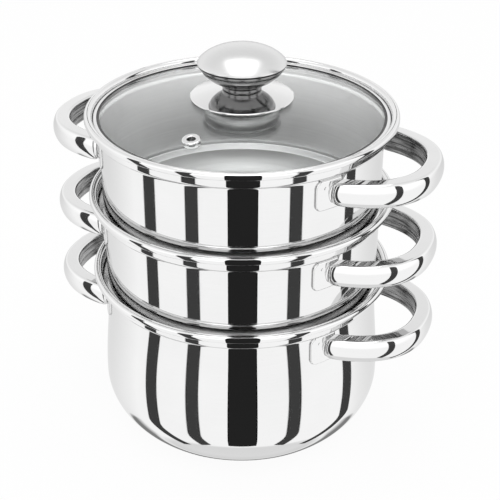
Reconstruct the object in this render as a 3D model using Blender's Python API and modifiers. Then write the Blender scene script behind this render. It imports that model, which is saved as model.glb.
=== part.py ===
"""Three-tier steamer pot: a bottom pot, two perforated steamers and a glass lid, all lifting straight up.

Metres, +Z up, origin at the middle of the base, handles along X. Heights in the tier profiles are
measured down from that tier's own lip. Every length is a named size below.
"""
import math

import bmesh
import bpy
from mathutils import Matrix, Vector

# Tiers
POT_HEIGHT = 0.116
STEAMER_STEP = 0.0548
SHEET = 0.0007
SEAT_GAP = 0.0003
FIT_GAP = 0.00045

# Rolled lip and the stepped seat under it, as radii and depths of the sheet's middle line
LIP_RADIUS = 0.0996
LIP_DROP = 0.0035
LIP_OVERHANG = 0.00445
LIP_CREST_SHARE = 0.6
LIP_SHOULDER_SHARE = 0.35
LIP_FALL_SHARES = (0.45, 0.23)
STEP_TOP_SHARE = 0.65
STEP_START = 0.004
LEDGE_DEPTH = 0.01115
LEDGE_WIDTH = 0.0045
LEDGE_CORNER = 0.0009
WALL_START = 0.0132
STEP_RADIUS = LIP_RADIUS - LIP_OVERHANG
WALL_RADIUS = STEP_RADIUS - LEDGE_WIDTH

# Bottom pot: it swells from the rim to a full belly, then rounds into the base
BELLY_SWELL = 0.0041
BELLY_DEPTH = 0.0822
BELLY_POWERS = (1.9, 0.635)
BELLY_SHARES = (0.15, 0.35, 0.7, 1.0)
BASE_SHARES = (0.35, 0.62, 0.84, 1.0)
BASE_INSET = 0.0270
BASE_CAP_RISE = 0.0042
BASE_CAP_SHEET = 0.0008
BASE_CAP_SHARES = (0.65, 0.3, 0.08)
BASE_CAP_INSIDE_SHARES = ((0.3, 1.0, 0.9), (0.65, 1.3, 0.5))
OUTER_WALL = WALL_RADIUS + SHEET / 2
BELLY_RADIUS = OUTER_WALL + BELLY_SWELL
BASE_RADIUS = BELLY_RADIUS - BASE_INSET

# Steamer bottom: a bead that sits on the ledge below, a foot ring and a raised floor
BEAD_HEIGHT = 0.0026
BEAD_GAP = 0.00085
FOOT_DEPTH = 0.0053
FOOT_WIDTH = 0.0030
FLOOR_RAISE = 0.0034
FLOOR_INSET = 0.00765
HOLE_RADIUS = 0.0022
HOLE_RING_STEP = 0.0110
HOLE_RINGS = 3
BEAD_RADIUS = STEP_RADIUS - SHEET - BEAD_GAP
FLOOR_RADIUS = WALL_RADIUS - FLOOR_INSET

# Handles: one bent tube each side of a tier, its section flat inside, above and below and bowed outside
TUBE_HEIGHT = 0.0152
TUBE_DEPTH = 0.0115
TUBE_WALL = 0.0009
TUBE_CORNER = 0.0011
TUBE_FACE_RADIUS = 0.0134
FACE_SHARES = (0.33, 1.0)
STEAMER_LOOP_STAND = 0.0404
POT_LOOP_STAND = 0.0420
STEAMER_HANDLE_DEPTH = 0.0239
POT_HANDLE_DEPTH = 0.0234
LOOP_SPREAD = 0.0918
LOOP_SINK = 0.0232
TUBE_INSET = 0.0065
TUBE_STRAIGHT = 0.0030
LOOP_POWER = 2.31
STEAMER_REACH = OUTER_WALL + STEAMER_LOOP_STAND
POT_REACH = OUTER_WALL + POT_LOOP_STAND
LOOP_CENTRE = OUTER_WALL - LOOP_SINK
TUBE_START = OUTER_WALL - TUBE_INSET

# Foot brackets
COLLAR_LENGTH = 0.0026
COLLAR_ROOT = 0.0130
COLLAR_STAND = 0.0002
SPIGOT_LENGTH = 0.0045
SPIGOT_GAP = 0.0014
TAB_HEIGHT = 0.0196
TAB_THICKNESS = 0.0012
TAB_LENGTH = 0.0173
TAB_CORNER = 0.0040

# Lid
BAND_GAP = 0.0003
BAND_LIP = 0.0023
BAND_TOP_DEPTH = 0.0030
BAND_SHEET = 0.0006
BAND_CORNER = 0.0007
GLASS_THICKNESS = 0.0040
GLASS_RISE = 0.0122
DOME_SHARES = (0.0, 0.3, 0.58, 0.8, 1.0)
GLASS_HOLE = 0.0036
GLASS_GAP = 0.0003
VENT_INSET = 0.0269
VENT_BEARING_DEGREES = -94.1
VENT_FLANGE = 0.0058
VENT_HOLE = 0.0026
VENT_WALL = 0.0006
VENT_FLANGE_THICKNESS = 0.0012
BAND_RADIUS = STEP_RADIUS - SHEET / 2 - BAND_GAP
DOME_RADIUS = BAND_RADIUS - BAND_LIP - GLASS_GAP
VENT_DISTANCE = DOME_RADIUS - VENT_INSET

# Knob
KNOB_RADIUS = 0.0282
KNOB_EDGE_HEIGHT = 0.0298
KNOB_TOP_HEIGHT = 0.0407
KNOB_SHEET = 0.0008
CAP_SHARES = (1.0, 0.92, 0.74, 0.5, 0.25, 0.0)
CAP_POWERS = (2.2, 0.75)
BOWL_EDGE_RADIUS = 0.0200
BOWL_EDGE_HEIGHT = 0.0205
NECK_RADIUS = 0.0122
NECK_HEIGHT = 0.0152
SKIRT_RADIUS = 0.0327
SKIRT_RIM_HEIGHT = 0.0082
SKIRT_TOP_HEIGHT = 0.0128
SKIRT_SHEET = 0.0009
SKIRT_SHARES = (1.0, 0.7, 0.35, 0.0)
SKIRT_FLAT_MARGIN = 0.0004
INSERT_RADIUS = 0.0058
INSERT_LENGTH = 0.0100
SCREW_RADIUS = 0.0024
SCREW_HEAD_RADIUS = 0.0045
SCREW_HEAD_HEIGHT = 0.0026
GASKET_RADIUS = 0.0105
WASHER_RADIUS = 0.0235
WASHER_DEPTH = 0.0122
WASHER_SHEET = 0.0008
WASHER_CORNER = 0.0012
WASHER_RECESS_RADIUS = 0.0072
WASHER_RECESS_DEPTH = 0.0092
INNER_GASKET_WIDTH = 0.0024
INNER_GASKET_THICKNESS = 0.0012
CUTTER_OVERRUN = 0.004

TURNED_SEGMENTS = 32
SMALL_SEGMENTS = 12
KNOB_SEGMENTS = 24
TUBE_STATIONS = 13
HOLE_SIDES = 6
MERGE_DISTANCE = 0.00001

MIDDLE_LIP = POT_HEIGHT + STEAMER_STEP
TOP_LIP = MIDDLE_LIP + STEAMER_STEP


def clear_scene():
    for obj in list(bpy.data.objects):
        bpy.data.objects.remove(obj, do_unlink=True)
    for collection in list(bpy.data.collections):
        bpy.data.collections.remove(collection)


def make_collection(name):
    collection = bpy.data.collections.new(name)
    bpy.context.scene.collection.children.link(collection)
    return collection


def make_material(name, colour, metallic, roughness, transmission=0.0):
    material = bpy.data.materials.new(name)
    material.use_nodes = True
    shader = material.node_tree.nodes["Principled BSDF"]
    shader.inputs["Base Color"].default_value = (*colour, 1.0)
    shader.inputs["Metallic"].default_value = metallic
    shader.inputs["Roughness"].default_value = roughness
    shader.inputs["Transmission Weight"].default_value = transmission
    return material


clear_scene()
PARTS = make_collection("three_tier_steamer_pot")
CUTTERS = make_collection("cutters")
POLISHED = make_material("polished_steel", (0.78, 0.78, 0.79), 1.0, 0.08)
BRUSHED = make_material("brushed_steel", (0.62, 0.62, 0.63), 1.0, 0.30)
ALUMINIUM = make_material("aluminium", (0.70, 0.71, 0.72), 1.0, 0.40)
GLASS = make_material("clear_glass", (0.93, 0.96, 0.95), 0.0, 0.02, 1.0)
SILICONE = make_material("silicone", (0.12, 0.12, 0.12), 0.0, 0.55)


def add_object(name, data, material=None, collection=None):
    obj = bpy.data.objects.new(name, data)
    (collection or PARTS).objects.link(obj)
    if material and not obj.material_slots:
        data.materials.append(material)
    return obj


def add_cutter(name, mesh):
    cutter = add_object(name, mesh, collection=CUTTERS)
    cutter.hide_render = True
    cutter.display_type = "WIRE"
    return cutter


def add_boolean(obj, cutter, operation):
    modifier = obj.modifiers.new(f"{operation.lower()}_{cutter.name}", "BOOLEAN")
    modifier.operation = operation
    modifier.solver = "EXACT"
    modifier.object = cutter


def mesh_from(bm, name):
    mesh = bpy.data.meshes.new(name)
    bm.to_mesh(mesh)
    bm.free()
    return mesh


def turned(name, profile, material, height=0.0, segments=TURNED_SEGMENTS, sheet=0.0):
    """A profile of (radius, height) points turned about Z: an outline, or with sheet set a middle line."""
    mesh = bpy.data.meshes.new(name)
    count = len(profile)
    edges = [(i, (i + 1) % count) for i in range(count - 1 if sheet else count)]
    edges = [(i, j) for i, j in edges if profile[i][0] > 0 or profile[j][0] > 0]
    mesh.from_pydata([(r, 0, z) for r, z in profile], edges, [])
    obj = add_object(name, mesh, material)
    obj.location.z = height
    screw = obj.modifiers.new("turn", "SCREW")
    screw.steps = segments
    screw.render_steps = segments
    screw.use_merge_vertices = True
    screw.merge_threshold = MERGE_DISTANCE
    screw.use_smooth_shade = True
    if sheet:
        solidify = obj.modifiers.new("sheet", "SOLIDIFY")
        solidify.thickness = sheet
        solidify.offset = 0
        solidify.use_even_offset = True
    return obj


def spun_sheet(name, path, material, height):
    """An open path of (radius, height) points spun about Z, its inner end closed by one flat face."""
    bm = bmesh.new()
    points = [bm.verts.new((r, 0, z)) for r, z in path]
    lines = [bm.edges.new(pair) for pair in zip(points, points[1:])]
    bmesh.ops.spin(
        bm,
        geom=points + lines,
        cent=Vector(),
        axis=Vector((0, 0, 1)),
        angle=2 * math.pi,
        steps=TURNED_SEGMENTS,
        use_merge=True,
    )
    bmesh.ops.remove_doubles(bm, verts=bm.verts, dist=MERGE_DISTANCE)
    inner_radius = path[-1][0]
    inner = [e for e in bm.edges if e.is_boundary and e.verts[0].co.xy.length < inner_radius * 1.01]
    bmesh.ops.contextual_create(bm, geom=inner)
    bmesh.ops.recalc_face_normals(bm, faces=bm.faces)
    obj = add_object(name, mesh_from(bm, name), material)
    obj.data.shade_smooth()
    obj.location.z = height
    solidify = obj.modifiers.new("sheet", "SOLIDIFY")
    solidify.thickness = SHEET
    solidify.offset = 0
    solidify.use_even_offset = True
    return obj


def rim_path():
    """The sheet's middle line from the lip's curled end down to the top of the wall."""
    crest_radius = STEP_RADIUS + LIP_OVERHANG * LIP_CREST_SHARE
    fall_out, fall_down = LIP_FALL_SHARES
    return [
        (LIP_RADIUS, -LIP_DROP),
        (LIP_RADIUS, -LIP_DROP * LIP_SHOULDER_SHARE),
        (crest_radius, -SHEET / 2),
        (STEP_RADIUS + (crest_radius - STEP_RADIUS) * fall_out, -STEP_START * fall_down),
        (STEP_RADIUS, -STEP_START * STEP_TOP_SHARE),
        (STEP_RADIUS, -LEDGE_DEPTH + LEDGE_CORNER),
        (STEP_RADIUS - LEDGE_CORNER, -LEDGE_DEPTH),
        (WALL_RADIUS + LEDGE_CORNER, -LEDGE_DEPTH),
        (WALL_RADIUS, -WALL_START),
    ]


def belly_radius(depth):
    """The pot's outer radius at a depth under its lip."""
    if depth <= BELLY_DEPTH:
        share = max(0.0, (depth - WALL_START) / (BELLY_DEPTH - WALL_START))
        return OUTER_WALL + BELLY_SWELL * (1 - math.cos(share * math.pi)) / 2
    share = min(1.0, (depth - BELLY_DEPTH) / (POT_HEIGHT - BELLY_DEPTH))
    inner_power, outer_power = BELLY_POWERS
    return BASE_RADIUS + BASE_INSET * (1 - share**inner_power) ** outer_power


def pot_body():
    seam_depth = POT_HEIGHT - BASE_CAP_RISE
    path = rim_path()
    for share in BELLY_SHARES:
        depth = WALL_START + (BELLY_DEPTH - WALL_START) * share
        path.append((belly_radius(depth) - SHEET / 2, -depth))
    for share in BASE_SHARES:
        depth = BELLY_DEPTH + (seam_depth - BELLY_DEPTH) * share
        path.append((belly_radius(depth) - SHEET * 0.6, -depth + SHEET * share))
    floor_edge = belly_radius(seam_depth) - SHEET * 3
    path.append((floor_edge, -seam_depth + SHEET / 2))
    return spun_sheet("pot_body", path, POLISHED, POT_HEIGHT)


def pot_base():
    seam = BASE_CAP_RISE
    rim = belly_radius(POT_HEIGHT - seam)
    cap_shares = (1 - SEAT_GAP / seam,) + BASE_CAP_SHARES
    outside = [(belly_radius(POT_HEIGHT - seam * share), seam * share) for share in cap_shares]
    outside.append((BASE_RADIUS, 0))
    inside = [(BASE_RADIUS - BASE_CAP_SHEET, BASE_CAP_SHEET)]
    for share, inward, upward in BASE_CAP_INSIDE_SHARES:
        radius = belly_radius(POT_HEIGHT - seam * share)
        inside.append((radius - BASE_CAP_SHEET * inward, seam * share + BASE_CAP_SHEET * upward))
    inside.append((rim - BASE_CAP_SHEET * 1.6, seam - SEAT_GAP))
    turned("pot_base_cap", outside + [(0, 0), (0, BASE_CAP_SHEET)] + inside, POLISHED)
    core_low = BASE_CAP_SHEET + SEAT_GAP
    core_high = seam - SEAT_GAP
    core_radius = BASE_RADIUS - BASE_CAP_SHEET - SEAT_GAP
    core = [(0, core_high), (core_radius, core_high), (core_radius, core_low), (0, core_low)]
    turned("pot_base_core", core, ALUMINIUM)


def hole_places():
    places = [(0.0, 0.0)]
    for ring in range(1, HOLE_RINGS + 1):
        count = 6 * ring
        for k in range(count):
            angle = 2 * math.pi * k / count
            places.append((ring * HOLE_RING_STEP * math.cos(angle), ring * HOLE_RING_STEP * math.sin(angle)))
    return places


def steamer_body(name, lip_height):
    seat = STEAMER_STEP + LEDGE_DEPTH - SHEET - SEAT_GAP
    spigot = WALL_RADIUS - SHEET - FIT_GAP
    foot = seat + FOOT_DEPTH
    floor = foot - FLOOR_RAISE
    path = rim_path()
    path += [
        (WALL_RADIUS, -seat + BEAD_HEIGHT),
        (BEAD_RADIUS, -seat + BEAD_HEIGHT / 2),
        (BEAD_RADIUS - SHEET, -seat),
        (WALL_RADIUS, -seat),
        (spigot, -seat - SHEET),
        (spigot, -foot + SHEET * 1.4),
        (spigot - SHEET * 1.4, -foot),
        (spigot - FOOT_WIDTH, -foot),
        (FLOOR_RADIUS, -floor),
    ]
    body = spun_sheet(name, path, POLISHED, lip_height)
    bm = bmesh.new()
    for x, y in hole_places():
        bmesh.ops.create_cone(
            bm,
            cap_ends=True,
            segments=HOLE_SIDES,
            radius1=HOLE_RADIUS,
            radius2=HOLE_RADIUS,
            depth=CUTTER_OVERRUN,
            matrix=Matrix.Translation((x, y, -floor)),
        )
    cutter = add_cutter(name + "_holes", mesh_from(bm, name + "_holes"))
    cutter.location.z = lip_height
    add_boolean(body, cutter, "DIFFERENCE")
    return body


def superpower(value, power):
    return math.copysign(abs(value) ** (2 / power), value)


def loop_point(angle, reach):
    """A point of the handle's middle line in plan; the angle runs from -90 degrees at the front foot."""
    out = reach - TUBE_DEPTH / 2 - LOOP_CENTRE
    return (
        LOOP_CENTRE + out * superpower(math.cos(angle), LOOP_POWER),
        LOOP_SPREAD / 2 * superpower(math.sin(angle), LOOP_POWER),
    )


def loop_points(reach):
    """Evenly spaced points along the loop between the short straight ends of the tube."""
    fine = [loop_point(math.radians(-90 + 180 * k / 720), reach) for k in range(721)]
    fine = [p for p in fine if p[0] > TUBE_START]
    fine = [(TUBE_START, fine[0][1])] + fine + [(TUBE_START, fine[-1][1])]
    along = [0.0]
    for p, q in zip(fine, fine[1:]):
        along.append(along[-1] + math.dist(p, q))
    points = []
    low = 0
    bend = along[-1] - 2 * TUBE_STRAIGHT
    targets = [TUBE_STRAIGHT + bend * k / (TUBE_STATIONS - 3) for k in range(TUBE_STATIONS - 2)]
    for target in [0.0] + targets + [along[-1]]:
        while low < len(fine) - 2 and along[low + 1] < target:
            low += 1
        share = (target - along[low]) / (along[low + 1] - along[low])
        points.append(tuple(a + (b - a) * share for a, b in zip(fine[low], fine[low + 1])))
    points[1] = (points[1][0], points[0][1])
    points[-2] = (points[-2][0], points[-1][1])
    return points


def section_points():
    """The middle line of the tube's wall: a bowed outer face, three flat ones and small corners."""
    depth = TUBE_DEPTH - TUBE_WALL
    half_height = (TUBE_HEIGHT - TUBE_WALL) / 2
    inner = -depth / 2
    bow = TUBE_FACE_RADIUS - TUBE_WALL / 2
    centre = depth / 2 - bow
    lean = math.asin((half_height - TUBE_CORNER) / (bow - TUBE_CORNER))
    upper = [
        (centre + bow * math.cos(lean * share), bow * math.sin(lean * share)) for share in FACE_SHARES
    ]
    upper += [
        (centre + (bow - TUBE_CORNER) * math.cos(lean), half_height),
        (inner + TUBE_CORNER, half_height),
        (inner, half_height - TUBE_CORNER),
    ]
    return upper + [(outward, -up) for outward, up in upper[::-1]]


def section_curve():
    """The tube's section as the bevel shape of every handle."""
    curve = bpy.data.curves.new("tube_section", "CURVE")
    spline = curve.splines.new("POLY")
    outline = section_points()
    spline.points.add(len(outline) - 1)
    for point, (outward, up) in zip(spline.points, outline):
        point.co = (outward, up, 0, 1)
    spline.use_cyclic_u = True
    section = add_object("tube_section", curve, collection=CUTTERS)
    section.hide_render = True
    section.display_type = "WIRE"
    return section


def handle_curve(name, reach, section):
    curve = bpy.data.curves.new(name, "CURVE")
    curve.dimensions = "3D"
    curve.twist_mode = "Z_UP"
    spline = curve.splines.new("POLY")
    points = loop_points(reach)
    spline.points.add(len(points) - 1)
    for point, (x, y) in zip(spline.points, points):
        point.co = (x, y, 0, 1)
    curve.bevel_mode = "OBJECT"
    curve.bevel_object = section
    curve.use_fill_caps = False
    return curve


def stub(start, end, front_y, growth):
    """A plug with the tube's section, grown all round by growth, from start to end along the front foot."""
    outline = [
        (outward * (1 + 2 * growth / TUBE_DEPTH), up * (1 + 2 * growth / TUBE_HEIGHT))
        for outward, up in section_points()
    ]
    bm = bmesh.new()
    rings = [[bm.verts.new((x, front_y - outward, up)) for outward, up in outline] for x in (start, end)]
    for ring in rings:
        bm.faces.new(ring)
    for k in range(len(outline)):
        after = (k + 1) % len(outline)
        bm.faces.new((rings[0][k], rings[0][after], rings[1][after], rings[1][k]))
    bmesh.ops.recalc_face_normals(bm, faces=bm.faces)
    return bm


def bracket_mesh(mirror, reach, wall_radius):
    """A foot bracket at the handle's height: collar, spigot and a weld tab along the wall.

    wall_radius gives the wall's outer radius at a height above the handle's middle.
    """
    front_y = loop_points(reach)[0][1]
    bearing = math.atan2(front_y, TUBE_START)
    collar_end = TUBE_START - SEAT_GAP
    collar = stub(collar_end - COLLAR_ROOT, collar_end, front_y, TUBE_WALL / 2 + COLLAR_STAND)
    inset = -TUBE_WALL / 2 - SPIGOT_GAP
    spigot = stub(collar_end - COLLAR_LENGTH, collar_end + SPIGOT_LENGTH, front_y, inset)

    tab = bmesh.new()
    bmesh.ops.create_cube(tab, size=1)
    bmesh.ops.scale(tab, vec=(TAB_LENGTH, TAB_THICKNESS * 2, TAB_HEIGHT), verts=tab.verts)
    free_end = [
        edge
        for edge in tab.edges
        if all(v.co.x < 0 for v in edge.verts) and edge.verts[0].co.z == edge.verts[1].co.z
    ]
    bmesh.ops.bevel(tab, geom=free_end, offset=TAB_CORNER, segments=1, profile=0.5, affect="EDGES")
    geometry = tab.verts[:] + tab.edges[:] + tab.faces[:]
    bmesh.ops.bisect_plane(tab, geom=geometry, plane_co=(0, 0, 0), plane_no=(1, 0, 0))
    tab_middle = bearing - TAB_LENGTH / 2 / OUTER_WALL
    for vert in tab.verts:
        angle = tab_middle + vert.co.x / OUTER_WALL
        radius = wall_radius(vert.co.z) + SEAT_GAP - vert.co.y
        vert.co = (radius * math.cos(angle), radius * math.sin(angle), vert.co.z)
    bmesh.ops.recalc_face_normals(tab, faces=tab.faces)

    wall = bmesh.new()
    bmesh.ops.create_cone(
        wall, cap_ends=True, segments=TURNED_SEGMENTS, radius1=1, radius2=1, depth=TAB_HEIGHT * 2
    )
    half = TAB_HEIGHT / 2
    for height in (-half, TAB_CORNER - half, half - TAB_CORNER, half):
        geometry = wall.verts[:] + wall.edges[:] + wall.faces[:]
        bmesh.ops.bisect_plane(wall, geom=geometry, plane_co=(0, 0, height), plane_no=(0, 0, 1))
    for vert in wall.verts:
        radius = wall_radius(vert.co.z) + SEAT_GAP
        vert.co = (vert.co.x * radius, vert.co.y * radius, vert.co.z)

    work = add_object("work", mesh_from(collar, "collar"), collection=CUTTERS)
    tools = []
    steps = (("spigot", spigot, "UNION"), ("tab", tab, "UNION"), ("wall", wall, "DIFFERENCE"))
    for name, bm, operation in steps:
        tool = add_object(f"{name}_tool", mesh_from(bm, name), collection=CUTTERS)
        tools.append(tool)
        add_boolean(work, tool, operation)
    graph = bpy.context.evaluated_depsgraph_get()
    result = bpy.data.meshes.new_from_object(work.evaluated_get(graph))
    for obj in [work] + tools:
        bpy.data.objects.remove(obj, do_unlink=True)
    if mirror:
        bm = bmesh.new()
        bm.from_mesh(result)
        bmesh.ops.scale(bm, vec=(1, -1, 1), verts=bm.verts)
        bmesh.ops.reverse_faces(bm, faces=bm.faces)
        bm.to_mesh(result)
        bm.free()
    result.name = "bracket_back" if mirror else "bracket_front"
    return result


def handles(tier, lip_height, depth, curve, brackets):
    """A tier's two handles, the second turned half round, with a bracket at each foot."""
    height = lip_height - depth
    for side, turn in (("right", 0.0), ("left", math.pi)):
        tube = add_object(f"{tier}_handle_{side}", curve, POLISHED)
        tube.matrix_world = Matrix.Translation((0, 0, height)) @ Matrix.Rotation(turn, 4, "Z")
        solidify = tube.modifiers.new("tube_wall", "SOLIDIFY")
        solidify.thickness = TUBE_WALL
        solidify.offset = 0
        for end, mesh in zip(("front", "back"), brackets if side == "right" else brackets[::-1]):
            bracket = add_object(f"{tier}_bracket_{side}_{end}", mesh, BRUSHED)
            bracket.matrix_world = tube.matrix_world.copy()


def glass_top(radius):
    """Height of the glass's upper face over the top lip plane: a dome inside a flat gripped edge."""
    edge = -BAND_TOP_DEPTH - BAND_SHEET - GLASS_GAP
    return edge + GLASS_RISE * max(0, 1 - (radius / DOME_RADIUS) ** 2)


def lid():
    edge_radius = BAND_RADIUS - BAND_SHEET - GLASS_GAP
    radii = [WASHER_RADIUS + (DOME_RADIUS - WASHER_RADIUS) * share for share in DOME_SHARES]
    radii = [GLASS_HOLE] + radii + [edge_radius]
    top = [(radius, glass_top(radius)) for radius in radii]
    profile = top + [(r, z - GLASS_THICKNESS) for r, z in top[::-1]]
    glass = turned("lid_glass", profile, GLASS, TOP_LIP)

    bottom = -LEDGE_DEPTH + SHEET / 2 + SEAT_GAP + BAND_SHEET / 2
    high = -BAND_TOP_DEPTH - BAND_SHEET / 2
    outer = BAND_RADIUS - BAND_SHEET / 2
    band = [
        (BAND_RADIUS - BAND_LIP, high),
        (outer - BAND_CORNER, high),
        (outer, high - BAND_CORNER),
        (outer, bottom + BAND_CORNER),
        (outer - BAND_CORNER, bottom),
        (BAND_RADIUS - BAND_LIP, bottom),
    ]
    turned("lid_rim_band", band, POLISHED, TOP_LIP, sheet=BAND_SHEET)

    bearing = math.radians(VENT_BEARING_DEGREES)
    slope = math.atan(2 * GLASS_RISE * VENT_DISTANCE / DOME_RADIUS**2)
    spot = Matrix.Translation((0, 0, TOP_LIP + glass_top(VENT_DISTANCE)))
    spot = spot @ Matrix.Rotation(bearing, 4, "Z") @ Matrix.Translation((VENT_DISTANCE, 0, 0))
    spot = spot @ Matrix.Rotation(slope, 4, "Y")
    barrel = VENT_HOLE + VENT_WALL
    bm = bmesh.new()
    bmesh.ops.create_cone(
        bm,
        cap_ends=True,
        segments=SMALL_SEGMENTS,
        radius1=barrel + GLASS_GAP,
        radius2=barrel + GLASS_GAP,
        depth=GLASS_THICKNESS + CUTTER_OVERRUN * 2,
        matrix=spot @ Matrix.Translation((0, 0, -GLASS_THICKNESS / 2)),
    )
    hole = add_cutter("vent_hole", mesh_from(bm, "vent_hole"))
    add_boolean(glass, hole, "DIFFERENCE")
    above = GLASS_GAP
    below = -GLASS_THICKNESS - GLASS_GAP
    lip = VENT_FLANGE_THICKNESS
    eyelet = [
        (VENT_HOLE + VENT_WALL, above + lip),
        (VENT_FLANGE, above + lip / 2),
        (VENT_FLANGE, above),
        (barrel, above),
        (barrel, below),
        (VENT_FLANGE - VENT_WALL, below),
        (VENT_FLANGE - VENT_WALL, below - lip / 2),
        (VENT_HOLE, below - lip / 2),
        (VENT_HOLE, above + lip / 2),
    ]
    vent = turned("vent_eyelet", eyelet, POLISHED, segments=SMALL_SEGMENTS)
    vent.matrix_world = spot


def knob():
    half = KNOB_SHEET / 2
    rise = KNOB_TOP_HEIGHT - KNOB_EDGE_HEIGHT - half
    inner_power, outer_power = CAP_POWERS
    cap = []
    for share in CAP_SHARES:
        height = KNOB_EDGE_HEIGHT + rise * (1 - share**inner_power) ** outer_power
        cap.append(((KNOB_RADIUS - half) * share, height))
    turned("knob_cap", cap, POLISHED, TOP_LIP, KNOB_SEGMENTS, sheet=KNOB_SHEET)

    plate = SKIRT_TOP_HEIGHT + SEAT_GAP + half
    bowl = [
        (KNOB_RADIUS - half * 2, KNOB_EDGE_HEIGHT - KNOB_SHEET - SEAT_GAP),
        (BOWL_EDGE_RADIUS, BOWL_EDGE_HEIGHT),
        (NECK_RADIUS + half * 3, NECK_HEIGHT + half * 2),
        (NECK_RADIUS, NECK_HEIGHT),
        (NECK_RADIUS, plate),
        (SCREW_RADIUS + FIT_GAP, plate),
    ]
    turned("knob_bowl", bowl, POLISHED, TOP_LIP, KNOB_SEGMENTS, sheet=KNOB_SHEET)

    bore = SCREW_RADIUS + SEAT_GAP
    insert_low = plate + half + SEAT_GAP
    insert_high = insert_low + INSERT_LENGTH
    insert = [
        (0, insert_high),
        (INSERT_RADIUS, insert_high),
        (INSERT_RADIUS, insert_low),
        (bore, insert_low),
        (bore, insert_high - SCREW_RADIUS),
        (0, insert_high - SCREW_RADIUS),
    ]
    turned("knob_insert", insert, BRUSHED, TOP_LIP, SMALL_SEGMENTS // 2)

    flat = NECK_RADIUS + SKIRT_FLAT_MARGIN
    fall = SKIRT_TOP_HEIGHT - SKIRT_RIM_HEIGHT
    centre = SKIRT_TOP_HEIGHT - SKIRT_SHEET / 2
    skirt = []
    for share in SKIRT_SHARES:
        radius = flat + (SKIRT_RADIUS - flat) * share
        skirt.append((radius, centre - fall * (radius**2 - flat**2) / (SKIRT_RADIUS**2 - flat**2)))
    skirt.append((SCREW_RADIUS + FIT_GAP, centre))
    turned("knob_skirt", skirt, POLISHED, TOP_LIP, KNOB_SEGMENTS, sheet=SKIRT_SHEET)
    return insert_high - SCREW_RADIUS


def ring(name, inner, outer, low, high, material, segments):
    profile = [(outer, high), (outer, low), (inner, low), (inner, high)]
    turned(name, profile, material, TOP_LIP, segments)


def knob_fastening(bore_end):
    """What clamps the knob through the glass: gaskets, a cup washer under the glass and a screw."""
    through = SCREW_RADIUS + FIT_GAP
    gasket_low = glass_top(0) + SEAT_GAP
    gasket_high = SKIRT_TOP_HEIGHT - SKIRT_SHEET - SEAT_GAP
    ring("knob_gasket", through, GASKET_RADIUS, gasket_low, gasket_high, SILICONE, SMALL_SEGMENTS)
    high = glass_top(WASHER_RADIUS) - GLASS_THICKNESS - SEAT_GAP
    low = high - INNER_GASKET_THICKNESS
    gasket_inner = WASHER_RADIUS - INNER_GASKET_WIDTH
    ring("lid_inner_gasket", gasket_inner, WASHER_RADIUS, low, high, SILICONE, KNOB_SEGMENTS)
    rim = low - SEAT_GAP
    floor = rim - WASHER_DEPTH + WASHER_SHEET / 2
    wall = WASHER_RADIUS - WASHER_SHEET / 2
    recess = floor + WASHER_RECESS_DEPTH
    cup = [
        (wall, rim),
        (wall, floor + WASHER_CORNER),
        (wall - WASHER_CORNER, floor),
        (WASHER_RECESS_RADIUS, floor),
        (WASHER_RECESS_RADIUS - WASHER_CORNER, recess),
        (through, recess),
    ]
    turned("lid_inner_washer", cup, POLISHED, TOP_LIP, KNOB_SEGMENTS, sheet=WASHER_SHEET)
    high = recess - WASHER_SHEET / 2 - SEAT_GAP
    low = high - SCREW_HEAD_HEIGHT
    screw = [
        (0, bore_end - SEAT_GAP),
        (SCREW_RADIUS, bore_end - SEAT_GAP),
        (SCREW_RADIUS, high),
        (SCREW_HEAD_RADIUS, high),
        (SCREW_HEAD_RADIUS, low + SCREW_HEAD_HEIGHT * 0.5),
        (SCREW_HEAD_RADIUS * 0.6, low),
        (0, low),
    ]
    turned("knob_screw", screw, BRUSHED, TOP_LIP, SMALL_SEGMENTS // 2)


def steamer_wall_radius(height):
    """The steamer's straight wall, whatever the height above its handle's middle."""
    return OUTER_WALL


def pot_wall_radius(height):
    return belly_radius(POT_HANDLE_DEPTH - height)


def build():
    section = section_curve()
    pot_curve = handle_curve("pot_handle", POT_REACH, section)
    pot_brackets = [bracket_mesh(mirror, POT_REACH, pot_wall_radius) for mirror in (False, True)]
    steamer_curve = handle_curve("steamer_handle", STEAMER_REACH, section)
    steamer_brackets = [
        bracket_mesh(mirror, STEAMER_REACH, steamer_wall_radius) for mirror in (False, True)
    ]
    pot_body()
    pot_base()
    handles("pot", POT_HEIGHT, POT_HANDLE_DEPTH, pot_curve, pot_brackets)
    for tier, lip_height in (("middle_steamer", MIDDLE_LIP), ("top_steamer", TOP_LIP)):
        steamer_body(f"{tier}_body", lip_height)
        handles(tier, lip_height, STEAMER_HANDLE_DEPTH, steamer_curve, steamer_brackets)
    lid()
    knob_fastening(knob())


build()
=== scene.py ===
"""Looks of a three-tier steamer pot: mirror-polished shells, tube handles, a glass lid and a steel knob.

Lengths are in metres, and heights in a tier's profile are measured from that tier's own lip. Every visible
piece stands for a CAD node: the node gives its place, and the finer surface is turned or lofted here.
"""
from math import acos, asin, atan, atan2, copysign, cos, exp, hypot, pi, radians, sin, sqrt, tan

import bmesh
import bpy
import numpy as np
from mathutils import Matrix, Vector
from numpy.linalg import norm


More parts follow.
